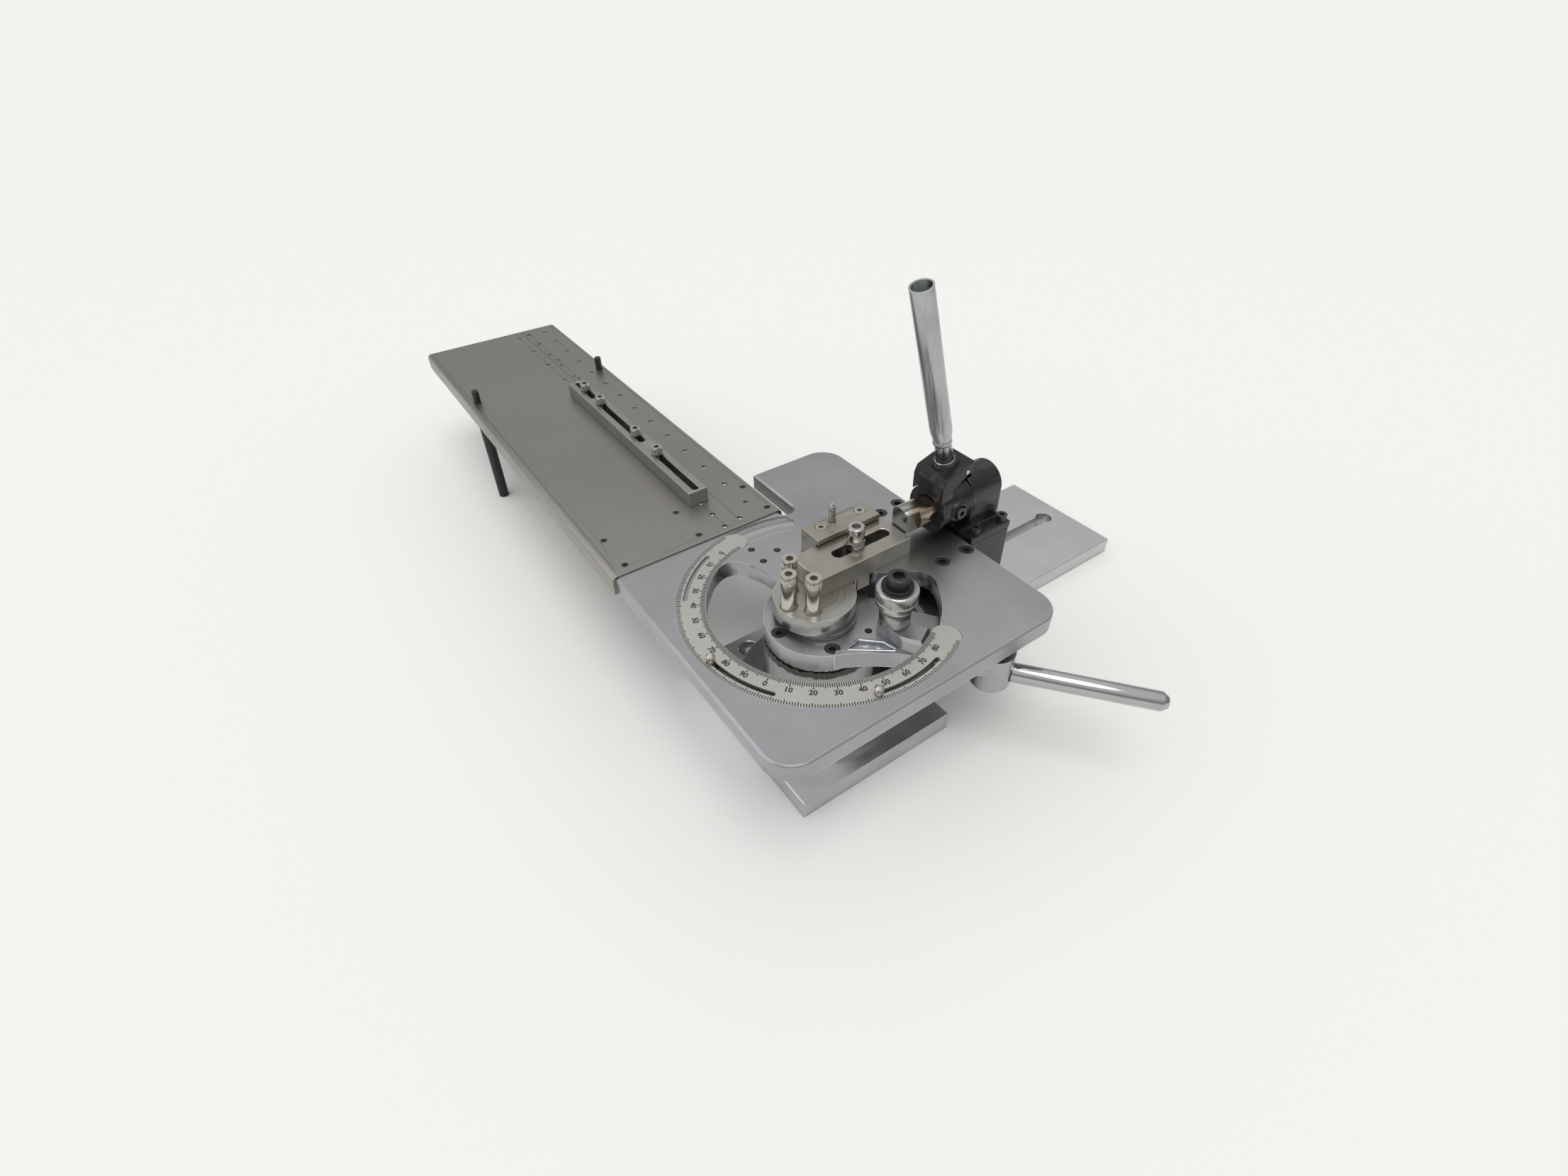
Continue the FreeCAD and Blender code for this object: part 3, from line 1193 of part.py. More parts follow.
def fence():
    """Slotted fence bar, its four clamping screws and the nuts under the table."""
    piece = Piece("fence_bar", z=TABLE_TOP)
    piece.pad("0", "fence_thick", box("-fence_left", "fence_start", "-fence_right", "fence_end"))
    for start, end in ("ab", "cd", "ef"):
        piece.cut("0", "fence_thick", round_slot(FENCE_X, f"fence_slot_{start}+fence_slot_half", FENCE_X,
                                                 f"fence_slot_{end}-fence_slot_half", "fence_slot_half"))
    piece.edge("Chamfer", "0.8", at_level("fence_thick", lambda e: e.Length > 15))
    cap_screws("fence_screws", "bar", FENCE_SCREWS, "fence_thick+table_sheet+fence_nut_tall+1",
               f"{TABLE_TOP}+fence_thick+run_gap")
    nuts = []
    for index, (x, y) in enumerate(FENCE_SCREWS):
        low = f"{TABLE_TOP}-table_sheet-fence_nut_tall"
        body = primitive("Prism", f"fence_nut_{index}", x, y, low, Circumradius="bar_head+0.6",
                         Height="fence_nut_tall")
        bore = primitive("Cylinder", f"fence_nut_bore_{index}", x, y, low, Radius="bar_rad+fit_gap",
                         Height="fence_nut_tall")
        nut = DOC.addObject("Part::Cut", f"fence_nut_cut_{index}")
        nut.Base = body
        nut.Tool = bore
        nuts.append(nut)
    group("fence_nuts", nuts)


def legs():
    """Two rods under the table's far part, each with a stud through the sheet."""
    seat = f"{TABLE_TOP}-table_sheet"
    for side, (x, y) in LEGS.items():
        leg = Piece(f"leg_{side}", x=x, y=y)
        leg.turn([("0", "0"), ("leg_rad-1", "0"), ("leg_rad", "1"), ("leg_rad", f"{seat}-2"),
                  ("leg_rad-1.5", seat), ("leg_stud_rad", seat),
                  ("leg_stud_rad", "leg_stud_top-1"), ("leg_stud_rad-1", "leg_stud_top"), ("0", "leg_stud_top")])


def fill_sheet_and_build():
    """Build every piece in the order of assembly."""
    fill_sheet()
    base_plate()
    pedestal()
    pedestal_screws()
    pivot_post()
    support_block()
    main_plate()
    plate_screws()
    dial_ring()
    stop_pin("stop_pin_left", "slot_two")
    stop_pin("stop_pin_right", "slot_three")
    mandrel()
    slider_bar()
    slider_screw()
    guide_and_keeper()
    swing_arm()
    handle_rod()
    arm_screws()
    bearing()
    roller_set()
    index_set()
    pawl()
    clamp_body()
    clamp_plunger()
    clamp_lever()
    clamp_links()
    clamp_pins()
    tube_handle()
    cap_screws("clamp_foot_screws", "six", FOOT_SCREWS, "foot_thick+11", "neck_top+foot_thick")
    table()
    fence()
    legs()


def check_and_export():
    """Refuse failed or empty shapes, then write one STEP file for each sub-part."""
    DOC.recompute()
    failed = [o.Name for o in DOC.Objects if {"Invalid", "Error"} & set(o.State)]
    bad = [n.Label for n in NODES if n.Shape.isNull() or not n.Shape.isValid()]
    if failed or bad:
        raise RuntimeError(f"failed objects {failed}, bad shapes {bad}")
    os.makedirs("parts", exist_ok=True)
    for node in NODES:
        node.Shape.exportStep(f"parts/{node.Label}.step")
        print(node.Label, len(node.Shape.Solids), round(node.Shape.Volume))


fill_sheet_and_build()
check_and_export()
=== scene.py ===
import logging
import math
import random
from dataclasses import dataclass
from enum import Enum
from typing import Iterable, Mapping, Sequence

import bpy
from mathutils import Matrix, Vector


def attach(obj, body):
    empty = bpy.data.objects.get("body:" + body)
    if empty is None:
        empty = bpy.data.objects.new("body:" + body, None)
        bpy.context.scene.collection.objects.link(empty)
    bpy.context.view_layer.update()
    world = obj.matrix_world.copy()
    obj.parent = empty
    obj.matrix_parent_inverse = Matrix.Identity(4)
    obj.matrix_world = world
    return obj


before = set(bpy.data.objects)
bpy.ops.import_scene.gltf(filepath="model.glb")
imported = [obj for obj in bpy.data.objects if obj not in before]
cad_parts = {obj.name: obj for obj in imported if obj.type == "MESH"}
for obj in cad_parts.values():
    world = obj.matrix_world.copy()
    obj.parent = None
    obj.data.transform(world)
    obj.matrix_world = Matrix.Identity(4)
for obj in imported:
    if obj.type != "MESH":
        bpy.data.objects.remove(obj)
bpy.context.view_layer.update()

LOG = logging.getLogger("scroll_bender")

# Sizes are in millimetres, apart from MM and WELD_REACH in metres and SHARP_ANGLE in degrees
MM = 0.001
SUNK = 0.02
INK_LIFT = 0.03
LETTER_SHARE = 1.38
LETTER_BOLD = 0.22
WELD_REACH = 0.00001
SHARP_ANGLE = 40.0
KNURL_ROOT = 0.1
KNURL_CREST = 0.28
KNURL_SHARE = 0.6
Point = tuple[float, float, float]
Colour = tuple[float, float, float]
UP: Point = (0.0, 0.0, 1.0)


# Shader maths


class Value:
    """A socket of a shader tree that can stand in an expression."""

    def __init__(self, shader: "Shader", socket: bpy.types.NodeSocket) -> None:
        """Keeps the socket and the shader whose tree holds it."""
        self.shader = shader
        self.socket = socket

    def math(self, operation: str, *others: "Value | float") -> "Value":
        """Adds one Math node.

        Args:
            operation: the Math node's operation.
            others: the other operands.

        Returns:
            The node's result.
        """
        inputs = {place: item for place, item in enumerate((self, *others))}
        return self.shader.node("ShaderNodeMath", {"operation": operation}, inputs)

    def flipped(self, operation: str, other: float) -> "Value":
        """Adds a Math node with the number first and this value second."""
        return self.shader.node("ShaderNodeMath", {"operation": operation}, {0: other, 1: self})

    def __add__(self, other: "Value | float") -> "Value":
        """Adds two values."""
        return self.math("ADD", other)

    def __radd__(self, other: float) -> "Value":
        """Adds a value to a number."""
        return self.math("ADD", other)

    def __sub__(self, other: "Value | float") -> "Value":
        """Takes a value or number away."""
        return self.math("SUBTRACT", other)

    def __rsub__(self, other: float) -> "Value":
        """Takes this value from a number."""
        return self.flipped("SUBTRACT", other)

    def __mul__(self, other: "Value | float") -> "Value":
        """Multiplies two values."""
        return self.math("MULTIPLY", other)

    def __rmul__(self, other: float) -> "Value":
        """Multiplies a number by this value."""
        return self.math("MULTIPLY", other)


class Shader:
    """The node tree that paints one material or the world."""

    def __init__(self, owner: bpy.types.Material | bpy.types.World) -> None:
        """Empties the owner's tree.

        Args:
            owner: the material or world whose tree is built.
        """
        self.owner = owner
        owner.use_nodes = True
        self.tree = owner.node_tree
        self.tree.nodes.clear()

    def node(
        self,
        kind: str,
        settings: Mapping[str, object] | None = None,
        inputs: Mapping[int | str, object] | None = None,
        output: int | str = 0,
    ) -> Value:
        """Adds a node.

        Args:
            kind: the node's type.
            settings: properties that are set first; "stops" fills a ramp.
            inputs: values or links by the socket's place, name or identifier.
            output: place, name or identifier of the wanted output.

        Returns:
            The wanted output as a value.
        """
        made = self.tree.nodes.new(kind)
        for name, value in (settings or {}).items():
            if name == "stops":
                self.fill_ramp(made.color_ramp, value)
            else:
                setattr(made, name, value)
        for key, value in (inputs or {}).items():
            socket = self.socket(made.inputs, key)
            if isinstance(value, Value):
                self.tree.links.new(value.socket, socket)
            else:
                socket.default_value = value
        return Value(self, self.socket(made.outputs, output))

    @staticmethod
    def socket(sockets: bpy.types.bpy_prop_collection, key: int | str) -> bpy.types.NodeSocket:
        """Finds a socket.

        Args:
            sockets: the node's inputs or outputs.
            key: the place, identifier or name.

        Returns:
            The socket.
        """
        if isinstance(key, int):
            return sockets[key]
        by_identifier = [s for s in sockets if s.identifier == key]
        return by_identifier[0] if by_identifier else sockets[key]

    @staticmethod
    def fill_ramp(ramp: bpy.types.ColorRamp, stops: Sequence[tuple[float, float]]) -> None:
        """Sets a ramp's stops.

        Args:
            ramp: the ramp.
            stops: positions with their grey levels.
        """
        while len(ramp.elements) < len(stops):
            ramp.elements.new(1.0)
        for element, (position, level) in zip(ramp.elements, stops):
            element.position = position
            element.color = (level, level, level, 1.0)

    def where(self) -> Value:
        """The point on the piece in millimetres."""
        place = self.node("ShaderNodeTexCoord", output="Object")
        return self.vector("SCALE", place, scale=1.0 / MM)

    def vector(
        self,
        operation: str,
        first: Value,
        second: "Value | Point | None" = None,
        scale: float | None = None,
        output: int | str = 0,
    ) -> Value:
        """Adds a Vector Math node.

        Args:
            operation: the node's operation.
            first: the first vector.
            second: the second vector.
            scale: the factor of a SCALE operation.
            output: the wanted output.

        Returns:
            The node's result.
        """
        inputs: dict[int | str, object] = {0: first}
        if second is not None:
            inputs[1] = second
        if scale is not None:
            inputs["Scale"] = scale
        return self.node("ShaderNodeVectorMath", {"operation": operation}, inputs, output)

    def noise(
        self, place: Value, scale: float, detail: float = 3.0, rough: float = 0.55
    ) -> Value:
        """A noise value with that many swings per millimetre of the place."""
        inputs = {"Vector": place, "Scale": scale, "Detail": detail, "Roughness": rough}
        return self.node("ShaderNodeTexNoise", None, inputs, "Fac")

    def ramp(self, value: Value, *stops: tuple[float, float]) -> Value:
        """Maps a value through grey stops."""
        return self.node("ShaderNodeValToRGB", {"stops": stops}, {0: value})

    def mix(self, share: "Value | float", first: "Value | Colour", second: "Value | Colour") -> Value:
        """Mixes two colours.

        Args:
            share: the second colour's share, from 0 to 1.
            first: the first colour.
            second: the second colour.

        Returns:
            The mixed colour.
        """
        colours = [c if isinstance(c, Value) else (*c, 1.0) for c in (first, second)]
        inputs = {"Factor_Float": share, "A_Color": colours[0], "B_Color": colours[1]}
        return self.node("ShaderNodeMix", {"data_type": "RGBA"}, inputs, "Result_Color")

    def rings(self, place: Value, centre: tuple[float, float], pitch: float) -> Value:
        """Fine lines round an upright axis.

        Args:
            place: the point in millimetres.
            centre: the axis's x and y.
            pitch: lines per millimetre.

        Returns:
            A noise value that runs in circles round the axis.
        """
        around = {0: self.radius(place, centre), 1: self.height(place) * 0.5}
        return self.noise(self.node("ShaderNodeCombineXYZ", None, around), pitch, detail=2.0)

    def radius(self, place: Value, centre: tuple[float, float]) -> Value:
        """Measures how far a point is from an upright axis.

        Args:
            place: the point in millimetres.
            centre: the axis's x and y.

        Returns:
            The distance.
        """
        local = self.vector("SUBTRACT", place, (*centre, 0.0))
        flat = self.vector("MULTIPLY", local, (1.0, 1.0, 0.0))
        return self.vector("LENGTH", flat, output="Value")

    def height(self, place: Value) -> Value:
        """The place's upright part."""
        return self.node("ShaderNodeSeparateXYZ", None, {0: place}, "Z")

    def edges(self, radius: float, gain: float) -> Value:
        """A mask that is 1 on sharp edges.

        Args:
            radius: how wide the worn edge is, in millimetres.
            gain: how quickly the mask reaches 1.

        Returns:
            The mask, from 0 to 1.
        """
        soft = self.node("ShaderNodeBevel", {"samples": 4}, {"Radius": radius * MM}, "Normal")
        hard = self.node("ShaderNodeNewGeometry", output="Normal")
        same = self.vector("DOT_PRODUCT", soft, hard, output="Value")
        return self.clamp((1.0 - same) * gain)

    def clamp(self, value: Value) -> Value:
        """Keeps a value from 0 to 1."""
        return self.node("ShaderNodeClamp", None, {0: value})

    def corner_shade(self, reach: float) -> Value:
        """A mask for painted shade that is 1 in tight corners.

        Args:
            reach: how far across a shaded corner is, in millimetres.

        Returns:
            The mask, from 0 to 1.
        """
        settings = {"samples": 4, "only_local": False}
        open_sky = self.node(
            "ShaderNodeAmbientOcclusion", settings, {"Distance": reach * MM}, "AO"
        )
        return self.clamp((1.0 - open_sky) * 1.4)

    def bump(self, height: Value, depth: float) -> Value:
        """Turns a height into a normal.

        Args:
            height: the height, from 0 to 1.
            depth: what a height of 1 stands for, in millimetres.

        Returns:
            The bent normal.
        """
        return self.node(
            "ShaderNodeBump", None, {"Strength": 1.0, "Distance": depth * MM, "Height": height}
        )

    def finish(self, **sockets: object) -> bpy.types.Material:
        """Ends the tree in a Principled shader.

        Args:
            sockets: values by socket name, with _ for a space.

        Returns:
            The material.
        """
        inputs = {name.replace("_", " "): value for name, value in sockets.items()}
        self.end("ShaderNodeOutputMaterial", self.node("ShaderNodeBsdfPrincipled", None, inputs))
        return self.owner

    def end(self, kind: str, shader: Value) -> None:
        """Links a shader to a new output node of that kind."""
        output = self.tree.nodes.new(kind)
        self.tree.links.new(shader.socket, output.inputs["Surface"])


# Finishes


class Grain(Enum):
    """How the tool marks run on a piece."""

    FREE = "free"
    ALONG_X = "x"
    ALONG_Y = "y"
    ALONG_Z = "z"
    TURNED = "turned"
    SWIRLED = "swirled"


DRAWN_OUT = 0.03
STRETCH: dict[Grain, Point] = {
    Grain.FREE: (1.0, 1.0, 1.0),
    Grain.ALONG_X: (DRAWN_OUT, 1.0, 1.0),
    Grain.ALONG_Y: (1.0, DRAWN_OUT, 1.0),
    Grain.ALONG_Z: (1.0, 1.0, DRAWN_OUT),
}


@dataclass(frozen=True)
class Zone:
    """A turned patch, between two radii and below a level, on a piece with other tool marks."""

    centre: tuple[float, float]
    inner: float
    outer: float
    below: float
    colour: Colour
    stain: Colour
    pitch: float

    def share(self, shader: Shader, place: Value) -> Value:
        """A mask that is 1 inside the zone.

        Args:
            shader: the tree that gets the mask.
            place: the point in millimetres.

        Returns:
            The mask, 0 or 1.
        """
        radius = shader.radius(place, self.centre)
        ring = radius.math("GREATER_THAN", self.inner) * radius.math("LESS_THAN", self.outer)
        return ring * shader.height(place).math("LESS_THAN", self.below)


@dataclass(frozen=True)
class Steel:
    """Bare or plated steel with tool marks, handling stains, worn edges and painted shade in tight
    corners.
    """

    name: str
    colour: Colour
    stain: Colour
    roughness: float
    grain: Grain = Grain.FREE
    centre: tuple[float, float] = (0.0, 0.0)
    pitch: float = 1.6
    mark_depth: float = 0.012
    mark_share: float = 0.35
    spread: float = 0.16
    patch: float = 0.02
    edge: Colour = (0.75, 0.77, 0.8)
    edge_width: float = 0.5
    edge_gain: float = 5.0
    # Painted shade in tight corners: how strong it is, how far it reaches, and its colour, which the
    # pits also use.
    corner_shade: float = 0.6
    corner_shade_reach: float = 4.0
    pit_and_shade: Colour = (0.02, 0.018, 0.015)
    metal: float = 1.0
    pits: float = 0.0
    speckle: float = 0.5
    mark_gain: float = 2.4
    dark_share: float = 0.72
    light_share: float = 1.3
    brightest: float = 0.95
    zones: tuple[Zone, ...] = ()

    def marks(self, shader: Shader, place: Value) -> Value:
        """The tool marks as a value round 0.5.

        Args:
            shader: the tree that gets the marks.
            place: the point in millimetres.

        Returns:
            The value.
        """
        if self.grain is Grain.TURNED:
            return shader.rings(place, self.centre, self.pitch)
        if self.grain is Grain.SWIRLED:
            return self.swirls(shader, place)
        stretched = shader.vector("MULTIPLY", place, STRETCH[self.grain])
        return shader.noise(stretched, self.pitch, detail=4.0)

    def swirls(self, shader: Shader, place: Value) -> Value:
        """The arcs that a hand grinder leaves, crossed by straight marks.

        Args:
            shader: the tree that gets the marks.
            place: the point in millimetres.

        Returns:
            The marks as a value round 0.5.
        """
        settings = {"feature": "SMOOTH_F1", "voronoi_dimensions": "2D"}
        inputs = {"Vector": place, "Scale": 0.028, "Smoothness": 0.35}
        cell = shader.node("ShaderNodeTexVoronoi", settings, inputs, "Distance")
        drift = shader.noise(place, scale=0.02, detail=2.0)
        arcs = shader.node("ShaderNodeCombineXYZ", None, {0: cell * 36.0, 1: drift * 3.0})
        swirl = shader.noise(arcs, self.pitch, detail=3.0)
        drawn = shader.vector("MULTIPLY", place, (0.9, 0.12, 1.0))
        return swirl * 0.55 + shader.noise(drawn, self.pitch * 0.7, detail=4.0) * 0.45

    def material(self) -> bpy.types.Material:
        """Builds the finish.

        Returns:
            The material.
        """
        shader = Shader(bpy.data.materials.new(self.name))
        place = shader.where()
        marks = self.marks(shader, place)
        patches = shader.noise(place, self.patch, detail=4.0, rough=0.6)
        fine = shader.noise(place, scale=0.35, detail=4.0, rough=0.7)
        shade = shader.clamp(patches * 1.9 - 0.55 + (fine - 0.5) * self.speckle)
        colour = shader.mix(shade, self.colour, self.stain)
        lined = shader.clamp((marks - 0.5) * self.mark_gain * self.mark_share + 0.5)
        dark = tuple(channel * self.dark_share for channel in self.colour)
        light = tuple(min(channel * self.light_share, self.brightest) for channel in self.colour)
        streaked = shader.mix(lined, dark, light)
        colour = shader.mix(self.mark_share, colour, streaked)
        for zone in self.zones:
            inside = zone.share(shader, place)
            turned = shader.rings(place, zone.centre, zone.pitch)
            tint = shader.mix(shader.clamp(turned * 2.2 - 0.6), zone.stain, zone.colour)
            colour = shader.mix(inside, colour, tint)
            marks = marks + (turned - marks) * inside
        if self.pits:
            colour = shader.mix(self.pitting(shader, place), colour, self.pit_and_shade)
        worn = shader.edges(self.edge_width, self.edge_gain)
        # Painted shade: the ambient occlusion mask darkens the colour in tight corners, and it also
        # roughens and dulls the metal there.
        shaded_corners = shader.corner_shade(self.corner_shade_reach) * self.corner_shade
        colour = shader.mix(shaded_corners, colour, self.pit_and_shade)
        colour = shader.mix(worn * shader.clamp(fine * 1.6), colour, self.edge)
        rough = self.roughness + (shade - 0.5) * self.spread + (marks - 0.5) * self.spread
        rough = shader.clamp(rough - worn * (self.roughness * 0.4) + shaded_corners * 0.25)
        return shader.finish(
            Base_Color=colour,
            Roughness=rough,
            Metallic=shader.clamp(self.metal - shaded_corners * 0.5),
            Normal=shader.bump(marks, self.mark_depth),
        )

    def pitting(self, shader: Shader, place: Value) -> Value:
        """A mask of the small dark pits, gathered in a few places.

        Args:
            shader: the tree that gets the mask.
            place: the point in millimetres.

        Returns:
            The mask, from 0 to 1.
        """
        inputs = {"Vector": place, "Scale": 0.22}
        spots = shader.node("ShaderNodeTexVoronoi", None, inputs, "Distance")
        speck = shader.ramp(spots, (0.05, 1.0), (0.16, 0.0))
        gathered = shader.noise(place, scale=0.05, detail=2.0)
        return speck * shader.ramp(gathered, (0.55, 0.0), (0.68, 1.0)) * self.pits


@dataclass(frozen=True)
class Painted:
    """Gloss paint over a rough casting, rubbed to metal on its edges."""

    name: str
    colour: Colour = (0.012, 0.012, 0.013)
    dust: Colour = (0.05, 0.05, 0.052)
    bare: Colour = (0.42, 0.42, 0.42)
    roughness: float = 0.24
    lumps: float = 0.16
    wear: float = 0.55

    def material(self) -> bpy.types.Material:
        """Builds the finish.

        Returns:
            The material.
        """
        shader = Shader(bpy.data.materials.new(self.name))
        place = shader.where()
        sand = shader.noise(place, scale=0.09, detail=3.0, rough=0.5)
        orange_peel = shader.noise(place, scale=0.5, detail=3.0, rough=0.6)
        drawn = shader.vector("MULTIPLY", place, (0.25, 1.0, 1.0))
        smears = shader.noise(drawn, scale=0.12, detail=4.0)
        colour = shader.mix(shader.ramp(smears, (0.5, 0.0), (0.75, 1.0)), self.colour, self.dust)
        rubbed = shader.noise(place, scale=0.28, detail=4.0, rough=0.7)
        chips = shader.ramp(rubbed, (0.5, 0.0), (0.62, 1.0))
        bare = shader.edges(radius=0.7, gain=6.0) * chips * self.wear
        colour = shader.mix(bare, colour, self.bare)
        rough = shader.clamp(self.roughness + smears * 0.22 - 0.08 + bare * 0.1)
        height = sand * 0.8 + orange_peel * 0.12
        return shader.finish(
            Base_Color=colour,
            Roughness=rough,
            Metallic=bare,
            Specular_IOR_Level=0.35,
            Normal=shader.bump(height, self.lumps),
        )


@dataclass(frozen=True)
class Blackened:
    """Oiled black oxide steel with edges rubbed grey."""

    name: str
    colour: Colour = (0.018, 0.018, 0.02)
    rubbed: Colour = (0.32, 0.32, 0.34)
    roughness: float = 0.38
    wear: float = 0.6
    rust: float = 0.1
    brown: Colour = (0.09, 0.045, 0.02)

    def material(self) -> bpy.types.Material:
        """Builds the finish.

        Returns:
            The material.
        """
        shader = Shader(bpy.data.materials.new(self.name))
        place = shader.where()
        fine = shader.noise(place, scale=0.8, detail=4.0, rough=0.65)
        patches = shader.noise(place, scale=0.12)
        worn = shader.edges(radius=0.35, gain=6.0) * shader.clamp(fine * 1.8 - 0.3) * self.wear
        base = shader.mix(patches, self.colour, tuple(c * 2.4 for c in self.colour))
        brown = shader.ramp(patches, (0.56, 0.0), (0.7, 1.0)) * self.rust
        base = shader.mix(brown, base, self.brown)
        return shader.finish(
            Base_Color=shader.mix(worn, base, self.rubbed),
            Roughness=shader.clamp(self.roughness + (fine - 0.5) * 0.3 - worn * 0.15),
            Metallic=shader.clamp(0.55 + worn * 0.45),
            Normal=shader.bump(fine, depth=0.015),
        )


@dataclass(frozen=True)
class Greasy:
    """Old grease or engraving ink."""

    name: str
    colour: Colour = (0.02, 0.016, 0.012)
    thin: Colour = (0.06, 0.05, 0.035)
    roughness: float = 0.3
    lumps: float = 0.2

    def material(self) -> bpy.types.Material:
        """Builds the finish.

        Returns:
            The material.
        """
        shader = Shader(bpy.data.materials.new(self.name))
        place = shader.where()
        lump = shader.noise(place, scale=0.35)
        return shader.finish(
            Base_Color=shader.mix(shader.clamp(lump * 2.0 - 0.6), self.colour, self.thin),
            Roughness=shader.clamp(self.roughness + (lump - 0.5) * 0.3),
            Normal=shader.bump(lump, self.lumps),
        )


class Palette:
    """Every finish of the machine, built once."""

    def __init__(self) -> None:
        """Builds the materials."""
        swing = (0.0, 0.0)
        disc = Zone((-1.3, 6.6), inner=-1.0, outer=35.7, below=140.0, pitch=1.1,
                    colour=(0.5, 0.49, 0.465), stain=(0.34, 0.33, 0.31))
        recess = Zone(swing, inner=95.0, outer=120.3, below=129.0, pitch=0.6,
                      colour=(0.6, 0.6, 0.6), stain=(0.22, 0.22, 0.225))
        nose = Zone((92.0, 15.6), inner=-1.0, outer=15.0, below=400.0, pitch=0.8,
                    colour=(0.47, 0.475, 0.47), stain=(0.27, 0.27, 0.265))
        steels = [
            Steel("base_ground", (0.6, 0.61, 0.61), (0.45, 0.46, 0.465), 0.36, Grain.ALONG_X,
                  pitch=1.1, pits=0.4, mark_depth=0.008, corner_shade=0.4),
            Steel("column_turned", (0.36, 0.365, 0.37), (0.22, 0.22, 0.23), 0.32, Grain.TURNED,
                  pitch=2.0, mark_share=0.5, corner_shade=0.8, corner_shade_reach=8.0),
            Steel("plate_polished", (0.43, 0.436, 0.445), (0.325, 0.334, 0.35), 0.36, Grain.SWIRLED,
                  pitch=0.3, mark_depth=0.0003, mark_share=0.2, spread=0.1, patch=0.012,
                  edge=(0.85, 0.87, 0.9), edge_width=1.0, edge_gain=7.0, corner_shade=0.2,
                  corner_shade_reach=2.0, speckle=0.06, zones=(disc, recess)),
            Steel("dial_satin", (0.55, 0.54, 0.505), (0.45, 0.435, 0.4), 0.36, Grain.TURNED, swing,
                  pitch=2.6, mark_depth=0.003, mark_share=0.3, corner_shade=0.2, corner_shade_reach=1.5,
                  metal=0.85),
            Steel("tool_ground", (0.43, 0.41, 0.36), (0.28, 0.26, 0.215), 0.32, Grain.ALONG_Y,
                  pitch=1.9, mark_depth=0.01, mark_share=0.45, edge=(0.8, 0.79, 0.75),
                  edge_width=0.7),
            Steel("pin_bright", (0.6, 0.58, 0.53), (0.38, 0.35, 0.28), 0.17, Grain.TURNED,
                  mark_share=0.2, corner_shade=0.8, pit_and_shade=(0.06, 0.05, 0.025)),
            Steel("rod_polished", (0.5, 0.5, 0.5), (0.4, 0.4, 0.4), 0.13, Grain.FREE,
                  mark_share=0.12, mark_depth=0.001, spread=0.06, corner_shade=0.3),
            Steel("zinc_plated", (0.45, 0.465, 0.47), (0.28, 0.295, 0.305), 0.24, Grain.ALONG_Z,
                  pitch=0.55, mark_share=0.5, mark_depth=0.006, pits=0.5),
            Steel("arm_milled", (0.43, 0.437, 0.45), (0.32, 0.327, 0.34), 0.34, Grain.TURNED,
                  pitch=0.7, mark_share=0.25, mark_depth=0.003, edge=(0.85, 0.89, 0.95),
                  edge_width=1.0, edge_gain=7.0, pits=0.4, corner_shade=0.3, speckle=0.2),
            Steel("arm_cast", (0.5, 0.51, 0.53), (0.24, 0.245, 0.255), 0.42, Grain.FREE,
                  pitch=1.1, mark_share=0.7, mark_depth=0.12, edge=(0.85, 0.88, 0.92), corner_shade=0.2),
            Steel("roller_ground", (0.55, 0.54, 0.525), (0.34, 0.33, 0.315), 0.2, Grain.ALONG_Z,
                  pitch=0.9, mark_share=0.55, mark_depth=0.008, corner_shade=0.5, corner_shade_reach=2.5),
            Steel("post_turned", (0.4, 0.385, 0.365), (0.24, 0.23, 0.215), 0.25, Grain.TURNED,
                  (36.5, -51.6), pitch=2.0, mark_share=0.4, corner_shade=0.5),
            Steel("carriage_grey", (0.43, 0.437, 0.445), (0.31, 0.315, 0.325), 0.33, Grain.ALONG_X,
                  pitch=0.8, mark_share=0.3, mark_depth=0.004, edge_width=0.9, edge_gain=7.0,
                  edge=(0.85, 0.88, 0.92), corner_shade=0.35, speckle=0.25),
            Steel("plunger_brown", (0.36, 0.3, 0.225), (0.2, 0.155, 0.105), 0.26, Grain.ALONG_X,
                  pitch=0.9, mark_share=0.7, mark_depth=0.02, edge=(0.66, 0.62, 0.54), corner_shade=0.3,
                  zones=(nose,)),
            Steel("table_rolled", (0.345, 0.335, 0.305), (0.275, 0.262, 0.232), 0.42,
                  Grain.ALONG_Y, pitch=0.8, mark_share=0.2, mark_depth=0.004, spread=0.14,
                  patch=0.006, edge=(0.7, 0.69, 0.66), edge_width=0.8, pits=0.6, corner_shade=0.35),
            Steel("teeth_greasy", (0.55, 0.55, 0.545), (0.26, 0.255, 0.24), 0.38, Grain.FREE,
                  mark_share=0.3, mark_depth=0.02, corner_shade=0.5, corner_shade_reach=1.5,
                  edge=(0.9, 0.9, 0.9)),
            Steel("ball_steel", (0.6, 0.6, 0.6), (0.35, 0.34, 0.32), 0.12, Grain.FREE,
                  mark_share=0.1, mark_depth=0.001, corner_shade=0.8),
            Steel("fence_ground", (0.42, 0.415, 0.395), (0.28, 0.272, 0.25), 0.36, Grain.ALONG_Y,
                  pitch=1.2, edge=(0.75, 0.74, 0.7), corner_shade=0.5),
            Steel("stud_worn", (0.16, 0.155, 0.15), (0.07, 0.065, 0.06), 0.42, Grain.TURNED,
                  mark_share=0.3, corner_shade=0.9, corner_shade_reach=1.5),
            Steel("screw_bright", (0.56, 0.55, 0.52), (0.36, 0.345, 0.31), 0.22, Grain.TURNED,
                  mark_share=0.25, corner_shade=0.7, corner_shade_reach=3.0),
            Steel("bronze_oiled", (0.42, 0.27, 0.1), (0.25, 0.15, 0.06), 0.35, Grain.TURNED),
        ]
